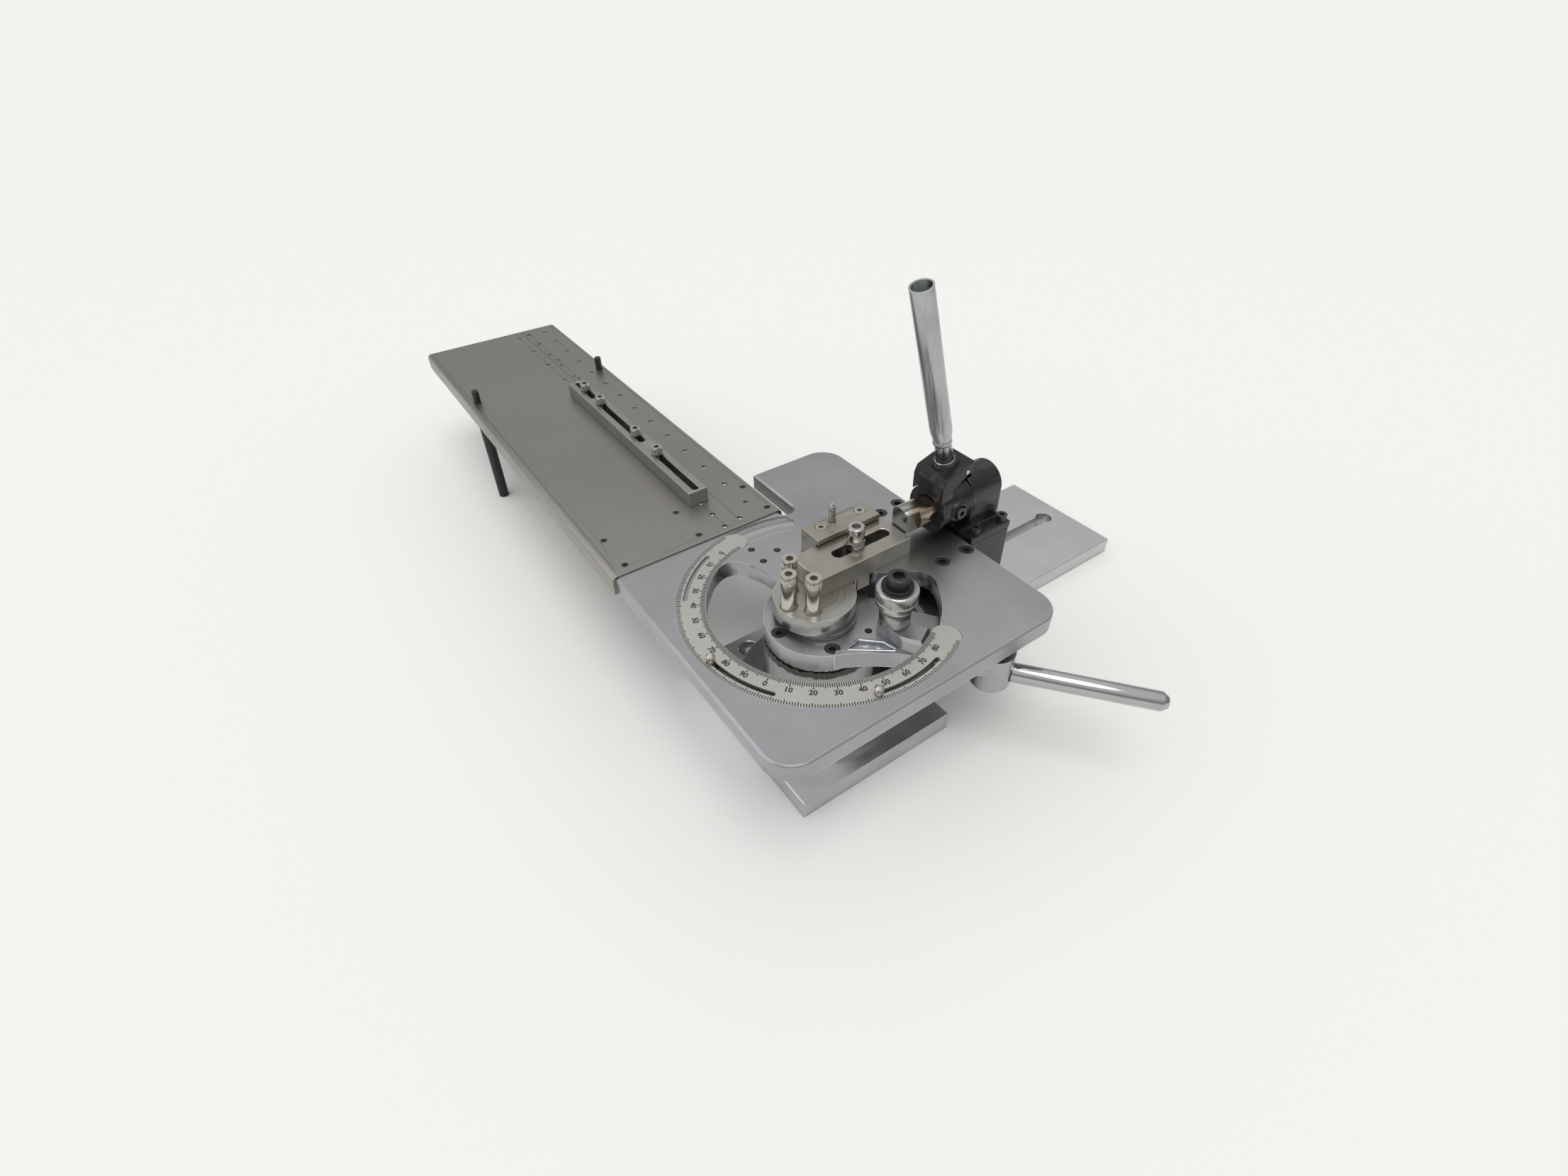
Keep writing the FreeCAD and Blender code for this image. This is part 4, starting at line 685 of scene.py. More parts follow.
        others = [
            Painted("clamp_gloss_black"),
            Blackened("screw_black", (0.028, 0.028, 0.03), (0.5, 0.5, 0.52), 0.32, 1.0),
            Blackened("spacer_black", (0.012, 0.012, 0.013), wear=0.35, rust=0.0),
            Blackened("leg_black", (0.02, 0.02, 0.021), roughness=0.45, wear=0.5, rust=0.3),
            Blackened("block_dark", (0.022, 0.022, 0.024), roughness=0.34, wear=0.5, rust=0.0),
            Greasy("grease_black"),
            Greasy("grease_yellow", (0.16, 0.13, 0.07), (0.26, 0.22, 0.13), 0.25, 0.3),
            Greasy("engraving_ink", (0.012, 0.011, 0.01), (0.03, 0.027, 0.024), 0.6, 0.02),
        ]
        self.made = {item.name: item.material() for item in [*steels, *others]}

    def __getitem__(self, name: str) -> bpy.types.Material:
        """The material of that name."""
        return self.made[name]


# Meshes


class Shape:
    """Vertices and faces of one piece, in millimetres of the machine's frame."""

    def __init__(self) -> None:
        """Starts with nothing."""
        self.points: list[Vector] = []
        self.faces: list[list[int]] = []

    def add(self, points: Iterable[Sequence[float]], faces: Iterable[Sequence[int]]) -> None:
        """Adds points and the faces between them.

        Args:
            points: the new points.
            faces: their faces, counted from the first new point.
        """
        start = len(self.points)
        self.points += [Vector(p) for p in points]
        self.faces += [[start + i for i in face] for face in faces]

    def prism(self, outline: Sequence[Sequence[float]], low: float, high: float) -> None:
        """Adds an upright block.

        Args:
            outline: its x, y corners, anticlockwise.
            low: its lower level.
            high: its upper level.
        """
        count = len(outline)
        points = [(*corner, low) for corner in outline] + [(*corner, high) for corner in outline]
        sides = [[i, (i + 1) % count, count + (i + 1) % count, count + i] for i in range(count)]
        caps = [list(range(count))[::-1], list(range(count, 2 * count))]
        self.add(points, sides + caps)

    def lathe(
        self,
        profile: Sequence[tuple[float, float]],
        base: Point,
        axis: Point = UP,
        steps: int = 48,
    ) -> None:
        """Adds a turned shape.

        Args:
            profile: its radius and distance along the axis, from one end to the other.
            base: where the axis starts.
            axis: the axis's direction.
            steps: how many sides it has.
        """
        along = Vector(axis).normalized()
        side = along.orthogonal().normalized()
        other = along.cross(side)
        points, rows = [], []
        for radius, far in profile:
            centre = Vector(base) + along * far
            rows.append(len(points))
            if radius == 0:
                points.append(centre)
                continue
            for angle in turns(steps):
                offset = side * math.cos(angle) + other * math.sin(angle)
                points.append(centre + offset * radius)
        faces = []
        for row in range(len(profile) - 1):
            low, high = rows[row], rows[row + 1]
            flat_low, flat_high = profile[row][0] == 0, profile[row + 1][0] == 0
            for step in range(steps):
                after = (step + 1) % steps
                first = [low] if flat_low else [low + step, low + after]
                second = [high] if flat_high else [high + after, high + step]
                if not (flat_low and flat_high):
                    faces.append(first + second)
        self.add(points, faces)

    def sweep(self, rings: Sequence[Sequence[Sequence[float]]], closed: bool = False) -> None:
        """Adds a skin through rings of points.

        Args:
            rings: rings with the same number of points each.
            closed: True when the last ring meets the first.
        """
        count = len(rings[0])
        points = [p for ring in rings for p in ring]
        faces = []
        for row in range(len(rings) if closed else len(rings) - 1):
            low, high = row * count, (row + 1) % len(rings) * count
            for step in range(count):
                after = (step + 1) % count
                faces.append([low + step, low + after, high + after, high + step])
        if not closed:
            faces.append(list(range(count))[::-1])
            faces.append([(len(rings) - 1) * count + i for i in range(count)])
        self.add(points, faces)

    def thread(
        self, base: Point, radius: float, pitch: float, length: float, depth: float
    ) -> None:
        """Adds a screw thread's ridge round an upright axis.

        Args:
            base: the lower end of its axis.
            radius: the crest's radius.
            pitch: the rise of one turn.
            length: how tall the thread is.
            depth: how far the ridge stands out.
        """
        steps, run_out = 20, 8
        total = int((length - pitch) / pitch * steps)
        rings = []
        for step in range(total + 1):
            angle = 2 * math.pi * step / steps
            level = base[2] + pitch * (0.5 + step / steps)
            fade = min(1.0, step / run_out, (total - step) / run_out)
            ring = []
            for out, up in ((-0.05, -0.42), (depth * fade, 0.0), (-0.05, 0.42)):
                ring.append((*rim(base, radius - depth + out, angle), level + up * pitch))
            rings.append(ring)
        self.sweep(rings)

    def piece(
        self,
        name: str,
        body: str,
        finish: bpy.types.Material,
        smooth: float = 35.0,
    ) -> bpy.types.Object:
        """Makes the object.

        Args:
            name: the piece's name.
            body: the body it rides on.
            finish: its material.
            smooth: edges under this angle, in degrees, are shaded smooth.

        Returns:
            The object.
        """
        mesh = bpy.data.meshes.new(name)
        mesh.from_pydata([p * MM for p in self.points], [], self.faces)
        mesh.validate()
        mesh.update()
        mesh.materials.append(finish)
        made = bpy.data.objects.new(name, mesh)
        bpy.context.scene.collection.objects.link(made)
        mesh.shade_smooth()
        mesh.set_sharp_from_angle(angle=math.radians(smooth))
        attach(made, body)
        LOG.info("built %s with %d faces", name, len(self.faces))
        return made


def knurl(shape: Shape, foot: Point, radius: float, tall: float, count: int) -> None:
    """Adds the upright ridges round a cap screw's head.

    Args:
        shape: the shape that gathers them.
        foot: where the ridges start on the head's axis.
        radius: the head's radius.
        tall: their height.
        count: how many there are.
    """
    spread = KNURL_SHARE * math.pi / count
    root, crest = radius - KNURL_ROOT, radius + KNURL_CREST
    for angle in turns(count):
        corners = ((root, -spread), (crest, 0.0), (root, spread))
        outline = [rim(foot, reach, angle + lean) for reach, lean in corners]
        shape.prism(outline, foot[2], foot[2] + tall)


def turns(count: int) -> list[float]:
    """That many equal steps of one full turn, in radians."""
    return [2 * math.pi * step / count for step in range(count)]


def rim(centre: Sequence[float], radius: float, angle: float) -> tuple[float, float]:
    """The x and y at that radius and angle, in radians, round a centre."""
    return centre[0] + radius * math.cos(angle), centre[1] + radius * math.sin(angle)


def ruled(step: int, lengths: tuple[float, float, float]) -> float:
    """The length of a scale's line: of every tenth, every fifth or any other."""
    tenth, fifth, other = lengths
    return tenth if step % 10 == 0 else fifth if step % 5 == 0 else other


def polar(radius: float, angle: float) -> tuple[float, float]:
    """The point at that radius and angle, in degrees, round the dial's axis."""
    turn = math.radians(angle)
    return radius * math.cos(turn), radius * math.sin(turn)


def dress(finish: bpy.types.Material, *nodes: str, bevel: float = 0.0) -> None:
    """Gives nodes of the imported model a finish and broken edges.

    Args:
        finish: the material.
        nodes: the nodes' names.
        bevel: the broken edge's width in millimetres.
    """
    for name in nodes:
        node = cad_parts[name]
        for place in node.material_slots:
            place.material = finish
        if bevel:
            soften(node, bevel)
        LOG.info("dressed %s in %s", name, finish.name)


def soften(node: bpy.types.Object, width: float, segments: int = 2) -> None:
    """Breaks the sharp edges of a node.

    Args:
        node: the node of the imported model.
        width: the edge's width in millimetres.
        segments: how many facets the edge has.
    """
    weld = node.modifiers.new("weld", "WELD")
    weld.merge_threshold = WELD_REACH
    edge = node.modifiers.new("edge", "BEVEL")
    edge.width = width * MM
    edge.segments = segments
    edge.limit_method = "ANGLE"
    edge.angle_limit = math.radians(SHARP_ANGLE)
    edge.use_clamp_overlap = True
    edge.harden_normals = True


def cast(node: bpy.types.Object, grain: float, passes: int) -> None:
    """Rounds every edge of a node as sand casting does.

    Args:
        node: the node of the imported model.
        grain: the size of the mesh's cells in millimetres.
        passes: how many times the skin is smoothed.
    """
    skin = node.modifiers.new("skin", "REMESH")
    skin.mode = "VOXEL"
    skin.voxel_size = grain * MM
    skin.use_smooth_shade = True
    smooth = node.modifiers.new("smooth", "SMOOTH")
    smooth.factor = 0.5
    smooth.iterations = passes


def lettering(
    text: str, height: float, place: Matrix, name: str, body: str, finish: bpy.types.Material
) -> bpy.types.Object:
    """Makes flat figures.

    Args:
        text: the figures.
        height: their height in millimetres.
        place: the frame that they lie in, in metres.
        name: the piece's name.
        body: the body it rides on.
        finish: its material.

    Returns:
        The object.
    """
    curve = bpy.data.curves.new(name, "FONT")
    curve.body = text
    curve.size = height * LETTER_SHARE * MM
    curve.align_x = "CENTER"
    curve.align_y = "CENTER"
    curve.resolution_u = 3
    curve.offset = LETTER_BOLD * MM
    source = bpy.data.objects.new(name + "_source", curve)
    bpy.context.scene.collection.objects.link(source)
    bpy.context.view_layer.update()
    mesh = bpy.data.meshes.new_from_object(source)
    bpy.data.objects.remove(source)
    mesh.name = name
    mesh.transform(place)
    mesh.materials.clear()
    mesh.materials.append(finish)
    made = bpy.data.objects.new(name, mesh)
    bpy.context.scene.collection.objects.link(made)
    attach(made, body)
    LOG.info("lettered %s with %s", name, text)
    return made


# Sub-assemblies


@dataclass
class Dial:
    """The graduated ring in the plate's recess, with its engraved scale."""

    palette: Palette
    inner: float = 95.6
    outer: float = 119.7
    level: float = 129.9
    start: float = 101.0
    stop: float = 298.0
    figure_ring: float = 105.6
    figure_height: float = 4.8
    tick_half: float = 0.4
    tick_tall: float = 0.08
    margin: float = 0.3
    inner_ticks: tuple[float, float, float] = (6.6, 5.2, 4.0)
    outer_ticks: tuple[float, float, float] = (4.0, 4.0, 3.0)
    figures: Sequence[int] = range(110, 300, 10)

    def build(self) -> None:
        """Dresses the ring and adds its scale."""
        dress(self.palette["dial_satin"], "dial_ring", bevel=0.2)
        scale = Shape()
        for step in range(int(self.stop - self.start) + 1):
            angle = self.start + step
            self.tick(scale, angle, self.inner + self.margin, ruled(round(angle), self.inner_ticks))
            length = ruled(round(angle), self.outer_ticks)
            self.tick(scale, angle, self.outer - self.margin - length, length)
        scale.piece("dial_scale", "frame", self.palette["engraving_ink"])
        for count, angle in enumerate(self.figures):
            self.figure(str((count % 10) * 10), angle)

    def tick(self, shape: Shape, angle: float, start: float, length: float) -> None:
        """Adds one engraved line.

        Args:
            shape: the shape that gathers the lines.
            angle: its angle on the dial in degrees.
            start: the radius where it starts.
            length: its length.
        """
        half = self.tick_half
        turn = math.radians(angle)
        along = (math.cos(turn), math.sin(turn))
        across = (-along[1] * half, along[0] * half)
        near = (start * along[0], start * along[1])
        far = ((start + length) * along[0], (start + length) * along[1])
        outline = [
            (near[0] - across[0], near[1] - across[1]),
            (far[0] - across[0], far[1] - across[1]),
            (far[0] + across[0], far[1] + across[1]),
            (near[0] + across[0], near[1] + across[1]),
        ]
        shape.prism(outline, self.level - SUNK, self.level + self.tick_tall)

    def figure(self, text: str, angle: float) -> None:
        """Adds one number, read from outside the ring.

        Args:
            text: the number.
            angle: its angle on the dial in degrees.
        """
        x, y = polar(self.figure_ring, angle)
        turn = Matrix.Rotation(math.radians(angle + 90), 4, "Z")
        place = Matrix.Translation(Vector((x, y, self.level + INK_LIFT)) * MM) @ turn
        name = f"dial_figure_{angle}"
        lettering(text, self.figure_height, place, name, "frame", self.palette["engraving_ink"])


@dataclass
class RuledTable:
    """The folded sheet table with its ruler, scribed lines and legs."""

    palette: Palette
    level: float = 131.5
    near: float = 190.0
    far: float = 688.0
    figure_x: float = 0.7
    figure_shift: float = 4.0
    figure_height: float = 3.4
    figure_step: int = 40
    line_half: float = 0.18
    line_lead: float = 60.0
    tick_half: float = 0.15
    tick_step: int = 2
    tick_foot: float = -2.0
    ticks: tuple[float, float, float] = (7.0, 5.0, 3.2)
    lines: Sequence[float] = (-125.0, -12.6, 3.4, 39.0)
    studs: Sequence[tuple[float, float]] = ((-121.0, 515.0), (35.4, 515.0))

    def build(self) -> None:
        """Dresses the table and adds the scribed work."""
        dress(self.palette["table_rolled"], "table", bevel=0.25)
        dress(self.palette["screw_black"], "table_screws")
        dress(self.palette["leg_black"], "leg_left", "leg_right")
        scribed = Shape()
        for x in self.lines:
            self.strip(scribed, x - self.line_half, self.near - self.line_lead,
                       x + self.line_half, self.far)
        for step in range(int((self.far - self.near) / self.tick_step)):
            y = self.near + self.tick_step * step
            end = self.tick_foot - ruled(step, self.ticks)
            self.strip(scribed, end, y - self.tick_half, self.tick_foot, y + self.tick_half)
        scribed.piece("table_scribing", "frame", self.palette["engraving_ink"])
        turn = Matrix.Rotation(math.radians(90), 4, "Z")
        for number, y in enumerate(range(int(self.near), int(self.far), self.figure_step)):
            spot = Vector((self.figure_x, y + self.figure_shift, self.level + INK_LIFT))
            place = Matrix.Translation(spot * MM) @ turn
            text, name = str(number * self.figure_step // 10), f"ruler_figure_{number}"
            ink = self.palette["engraving_ink"]
            lettering(text, self.figure_height, place, name, "frame", ink)
        for side, (x, y) in zip(("left", "right"), self.studs):
            thread = Shape()
            foot = (x, y, self.level + 0.2)
            thread.thread(foot, radius=4.0, pitch=1.25, length=14.5, depth=0.55)
            body = thread.piece(f"stud_thread_{side}", "frame", self.palette["stud_worn"])

    def strip(self, shape: Shape, x0: float, y0: float, x1: float, y1: float) -> None:
        """Adds one scribed line between two corners."""
        outline = [(x0, y0), (x1, y0), (x1, y1), (x0, y1)]
        shape.prism(outline, self.level - SUNK, self.level + INK_LIFT)


@dataclass
class Stand:
    """Base plate, pedestal, post, thrust bearing and support block."""

    palette: Palette

    def build(self) -> None:
        """Dresses the stand."""
        dress(self.palette["base_ground"], "base_plate", bevel=0.6)
        dress(self.palette["column_turned"], "pedestal", "pivot_post", bevel=0.3)
        dress(self.palette["block_dark"], "support_block", bevel=0.4)
        dress(self.palette["screw_black"], "pedestal_screws", "quadrant_screws")
        dress(self.palette["ball_steel"], "bearing_balls")
        dress(self.palette["bronze_oiled"], "hub_bush")
        dress(self.palette["grease_black"], "bearing_cage")
        dress(self.palette["column_turned"], "bearing_race_lower", "bearing_race_upper")
        dress(self.palette["teeth_greasy"], "index_quadrant", "latch_pawl")
        dress(self.palette["pin_bright"], "latch_pin")


@dataclass
class TopPlate:
    """The polished plate with its screws."""

    palette: Palette

    def build(self) -> None:
        """Dresses the plate."""
        dress(self.palette["plate_polished"], "main_plate", bevel=0.4)
        dress(self.palette["screw_black"], "plate_screws")
        dress(self.palette["pin_bright"], "stop_pin_left", "stop_pin_right", bevel=0.5)


@dataclass
class SwingArm:
    """The cast arm with its rod, roller and carriage."""

    palette: Palette
    turn: float = -51.5
    top: float = 109.0
    bottom: float = 92.5
    deep: float = 3.0
    pocket: Sequence[tuple[float, float]] = (
        (31.7, -31.9), (38.0, -20.7), (58.0, -18.0), (68.3, -22.8))
    rib: float = 1.2
    rib_high: float = 0.6
    rib_rough: float = 0.12
    rib_steps: int = 8
    floor_lift: float = 0.1
    floor_rough: float = 0.5
    floor_seed: int = 7
    edge_steps: int = 12
    floor_shares: Sequence[float] = (1.0, 0.9, 0.78, 0.64, 0.48, 0.3, 0.12)
    rib_section: Sequence[tuple[float, float]] = (
        (-1.0, -0.3), (-0.6, 0.75), (0.0, 1.0), (0.6, 0.75), (1.0, -0.3))
    flank: Sequence[tuple[float, float]] = (
        (22.8, -42.9), (37.5, -35.6), (52.0, -29.6), (75.0, -26.8))
    flank_steps: int = 16
    flank_back: float = 6.0
    flank_foot: float = 0.5
    flank_lift: float = 0.06
    roller: tuple[float, float] = (36.4632, -51.6236)
    roller_low: float = 138.4
    bands: Sequence[tuple[float, float]] = (
        (13.6, 4.6), (16.4, 4.6), (17.1, 5.2), (17.1, 9.0), (16.7, 9.4), (16.3, 9.8), (16.3, 10.2),
        (16.9, 10.6), (17.5, 11.0), (17.5, 18.2), (17.0, 19.0), (15.4, 20.2), (13.2, 20.25))
    cup_inner: float = 47.2
    cup_outer: float = 49.6
    cup_rim: float = 84.45
    grease_steps: int = 150
    grease_seed: int = 11
    grease_high: float = 2.2
    grease_rough: float = 2.6
    grease_swell: float = 1.1
    grease_sag: float = 2.2

    def build(self) -> None:
        """Dresses the arm and adds its cast relief and the bearing's grease."""
        dress(self.palette["arm_milled"], "swing_arm", bevel=0.8)
        dress(self.palette["screw_black"], "arm_screws")
        dress(self.palette["rod_polished"], "handle_rod", bevel=0.6)
        dress(self.palette["carriage_grey"], "roller_carriage", bevel=0.5)
        dress(self.palette["post_turned"], "roller_post", bevel=0.2)
        dress(self.palette["roller_ground"], "forming_roller", bevel=0.2)
        dress(self.palette["spacer_black"], "roller_washer", bevel=0.2)
        dress(self.palette["screw_black"], "roller_bolt", bevel=0.2)
        bands = Shape()
        bands.lathe(self.bands, (*self.roller, self.roller_low), steps=96)
        bands.piece("roller_bands", "roller", self.palette["roller_ground"], 30.0)
        self.relief()
        self.blend()
        self.grease()

    def place(self, along: float, across: float) -> tuple[float, float]:
        """Places a point of the arm.

        Args:
            along: how far out along the arm's middle line.
            across: how far to its left.

        Returns:
            The x and y.
        """
        x, y = polar(along, self.turn)
        shift_x, shift_y = polar(across, self.turn + 90)
        return x + shift_x, y + shift_y

    def relief(self) -> None:
        """Adds the rough cast floor and the ribs round it."""
        source = random.Random(self.floor_seed)
        corners = len(self.pocket)
        middle = [sum(axis) / corners for axis in zip(*self.pocket)]
        edge = []
        for corner, after in zip(self.pocket, [*self.pocket[1:], self.pocket[0]]):
            for step in range(self.edge_steps):
                edge.append([a + (b - a) * step / self.edge_steps for a, b in zip(corner, after)])
        rows = []
        for share in self.floor_shares:
            row = []
            for point in edge:
                spot = [m + (e - m) * share for m, e in zip(middle, point)]
                rough = self.floor_rough * source.random() * (share < 1.0)
                row.append((*self.place(*spot), self.top - self.deep + self.floor_lift + rough))
            rows.append(row)
        floor = Shape()
        floor.sweep(rows)
        floor.piece("arm_cast_floor", "arm", self.palette["arm_cast"], 60.0)
        ribs = Shape()
        for start in range(corners):
            first, last = Vector(self.pocket[start]), Vector(self.pocket[(start + 1) % corners])
            side = Vector((first.y - last.y, last.x - first.x)).normalized()
            rings = []
            for step in range(self.rib_steps + 1):
                share = step / self.rib_steps
                centre = first.lerp(last, share) + side * self.rib
                high = self.rib_high + self.rib_rough * source.random()
                ring = []
                for out, up in self.rib_section:
                    point = centre + side * out * self.rib
                    ring.append((*self.place(*point), self.top + high * up))
                rings.append(ring)
            ribs.sweep(rings)
        ribs.piece("arm_cast_ribs", "arm", self.palette["arm_milled"], 60.0)

    def blend(self) -> None:
        """Adds the flank that runs smoothly from the hub into the web."""
        one, two, three, four = (Vector(point) for point in self.flank)
        curve = []
        for step in range(self.flank_steps + 1):
            t = step / self.flank_steps
            point = (one * (1 - t) ** 3 + two * (3 * t * (1 - t) ** 2)
                     + three * (3 * t * t * (1 - t)) + four * t ** 3)
            curve.append(self.place(*point))
        back = Vector((0.0, self.flank_back))
        inner = [self.place(*(point + back)) for point in (four, one)]
        flank = Shape()
        flank.prism(curve + inner, self.bottom + self.flank_foot, self.top + self.flank_lift)
        flank.piece("arm_flank", "arm", self.palette["arm_milled"])

    def grease(self) -> None:
        """Adds the lumpy grease on the rim of the bearing's cup."""
        source = random.Random(self.grease_seed)
        rings = []
        for step in range(self.grease_steps):
            angle = 360 * step / self.grease_steps
            high = self.cup_rim + self.grease_high + self.grease_rough * source.random()
            swell = self.grease_swell * source.random()
            sag = self.grease_sag * source.random()
            ring = [(self.cup_inner, self.cup_rim - 0.3), (self.cup_inner + 0.1, high),
                    (self.cup_outer - 0.9 - swell, high + 0.3),
                    (self.cup_outer - swell, self.cup_rim + 1.0),
                    (self.cup_outer - swell * 0.5, self.cup_rim - sag),
                    (self.cup_inner + 1.0, self.cup_rim - 0.6 - sag)]
            rings.append([(*polar(radius, angle), level) for radius, level in ring])
        grease = Shape()
        grease.sweep(rings, closed=True)
        grease.piece("bearing_grease", "frame", self.palette["grease_black"], smooth=50.0)


@dataclass
class Mandrel:
    """The forming pins, the slider and its guide."""

    palette: Palette
    pins: Sequence[tuple[float, float]] = ((-28.0, 6.0), (-15.0, -10.0), (-16.0, 21.5))
    head_low: float = 157.2
    head_radius: float = 6.5
    head_tall: float = 6.0
    head_ridges: int = 26
    grease_steps: int = 28
    grease_seed: int = 41
    grease_inner: float = 7.2
    grease_outer: float = 7.3
    grease_spread: float = 0.9
    grease_low: float = 130.02
    grease_high: float = 130.5
    grease_rough: float = 0.6

    def build(self) -> None:
        """Dresses the tooling and adds the pins' grease and knurls."""
        dress(self.palette["pin_bright"], "mandrel_sleeves", bevel=0.3)
        dress(self.palette["pin_bright"], "mandrel_screws", bevel=0.15)
        dress(self.palette["tool_ground"], "slider_bar", "guide_block", "keeper_cap", bevel=0.35)
        dress(self.palette["screw_bright"], "slider_screw", "locating_dowel", bevel=0.25)
        dress(self.palette["screw_bright"], "keeper_screws", bevel=0.1)
        for number, (x, y) in enumerate(self.pins):
            self.grease(number, x, y)
            ridges = Shape()
            foot = (x, y, self.head_low)
            knurl(ridges, foot, self.head_radius, self.head_tall, self.head_ridges)
            ridges.piece(f"pin_knurl_{number}", "frame", self.palette["pin_bright"], smooth=20.0)

    def grease(self, number: int, x: float, y: float) -> None:
        """Adds the grease at one pin's foot.

        Args:
            number: the pin's number.
            x: the pin's x.
            y: the pin's y.
        """
        source = random.Random(self.grease_seed + number)
        blob = Shape()
        outer, inner = [], []
        for angle in turns(self.grease_steps):
            reach = self.grease_outer + self.grease_spread * source.random()
            outer.append((*rim((x, y), reach, angle), self.grease_low))
            high = self.grease_high + self.grease_rough * source.random()
            inner.append((*rim((x, y), self.grease_inner, angle), high))
        low = [(px, py, self.grease_low) for px, py, _ in inner]
        blob.sweep([outer, inner, low], closed=True)
        blob.piece(f"pin_grease_{number}", "frame", self.palette["grease_yellow"], smooth=80.0)


@dataclass
class PushClamp:
    """The push-pull clamp with its lever, links and plunger."""

    palette: Palette
    middle: float = 15.6
    level: float = 157.0
    pivot: float = 150.0
    tube_foot: Point = (146.5, 15.6, 199.6)
    tube_lean: float = 17.0
    flutes: int = 6
    flute: Sequence[tuple[float, float, float]] = (
        (24.0, 7.45, 0.25), (28.0, 8.1, 0.5), (34.0, 9.1, 0.6), (39.0, 9.75, 0.5), (46.0, 9.45, 0.2))
    flute_bottom: float = -0.35
    flute_crest: float = 0.25
    bead: Sequence[tuple[float, float]] = (
        (7.5, 22.0), (8.35, 23.6), (8.5, 25.0), (8.0, 26.6), (7.6, 27.0))
    collar: Sequence[tuple[float, float]] = (
        (8.1, -3.0), (12.6, -3.0), (12.0, 1.5), (10.8, 3.4), (9.2, 4.0), (8.1, 3.2))
    worn_ring: Sequence[tuple[float, float]] = ((8.0, 2.6), (8.9, 4.2), (8.3, 4.9), (7.7, 4.4))
    pivot_ring: Sequence[tuple[float, float]] = (
        (6.8, 0.0), (10.4, 0.0), (9.6, 2.2), (8.4, 3.2), (7.2, 3.2), (6.8, 2.0))
    pivot_side: float = 19.4
    round_steps: int = 40
    band_low: float = 163.9
    band_start: float = 185.0
    band_end: float = 355.0
    band_steps: int = 34
    band_section: Sequence[tuple[float, float]] = (
        (20.8, 0.0), (22.1, 0.4), (22.4, 1.2), (22.1, 2.2), (20.8, 2.6))

    def build(self) -> None:
        """Dresses the clamp and adds its cast and crimped details."""
        black = self.palette["clamp_gloss_black"]
        dress(black, "clamp_body", "clamp_yoke")
        for name in ("clamp_body", "clamp_yoke"):
            cast(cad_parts[name], 0.6, 7)
        dress(self.palette["leg_black"], "clamp_link_front", "clamp_link_rear")
        dress(self.palette["plunger_brown"], "clamp_plunger", bevel=0.4)
        dress(self.palette["screw_bright"], "clamp_crank_pin", "clamp_tail_pin", "clamp_yoke_pin",
              bevel=0.2)
        dress(self.palette["screw_black"], "clamp_pivot_pin", bevel=0.4)
        dress(self.palette["screw_black"], "clamp_foot_screws")
        dress(self.palette["zinc_plated"], "clamp_tube_handle", bevel=0.3)
        lean = math.radians(self.tube_lean)
        up = (-math.sin(lean), 0.0, math.cos(lean))
        collar = Shape()
        collar.lathe(self.collar, self.tube_foot, up, self.round_steps)
        collar.piece("yoke_collar", "lever", black, 60.0)
        ring = Shape()
        ring.lathe(self.worn_ring, self.tube_foot, up, self.round_steps)
        ring.piece("yoke_worn_ring", "lever", self.palette["screw_bright"], 60.0)
        self.boss(black)
        self.neck(up)

    def boss(self, black: bpy.types.Material) -> None:
        """Adds the cast ring round the pivot pin and the band under the barrel.

        Args:
            black: the clamp's paint.
        """
        side = Shape()
        foot = (self.pivot, self.middle - self.pivot_side, self.level)
        side.lathe(self.pivot_ring, foot, axis=(0.0, -1.0, 0.0), steps=36)
        side.piece("pivot_boss", "frame", black, 60.0)
        band = Shape()
        rings = []
        stretch = (self.band_end - self.band_start) / self.band_steps
        for step in range(self.band_steps + 1):
            turned = math.radians(self.band_start + stretch * step)
            rings.append([
                (self.band_low + far, *rim((self.middle, self.level), reach, turned))
                for reach, far in self.band_section
            ])
        band.sweep(rings)
        band.piece("barrel_band", "frame", black, 60.0)

    def neck(self, up: Point) -> None:
        """Adds the bead and the crimped flutes of the tube's neck.

        Args:
            up: the tube's direction.
        """
        along = Vector(up)
        side = Vector((0.0, 1.0, 0.0))
        other = along.cross(side)
        foot = Vector(self.tube_foot)
        crimp = Shape()
        crimp.lathe(self.bead, self.tube_foot, up, self.round_steps)
        for count in range(self.flutes):
            angle = 2 * math.pi * (count + 0.5) / self.flutes
            rings = []
            for far, radius, wide in self.flute:
                ring = []
                for lean, out in ((-wide, self.flute_bottom), (0.0, self.flute_crest),
                                  (wide, self.flute_bottom)):
                    turned = angle + lean / 3
                    reach = side * math.cos(turned) + other * math.sin(turned)
                    ring.append(foot + along * far + reach * (radius + out))
                rings.append(ring)
            crimp.sweep(rings)
        crimp.piece("tube_crimp", "lever", self.palette["zinc_plated"], 50.0)


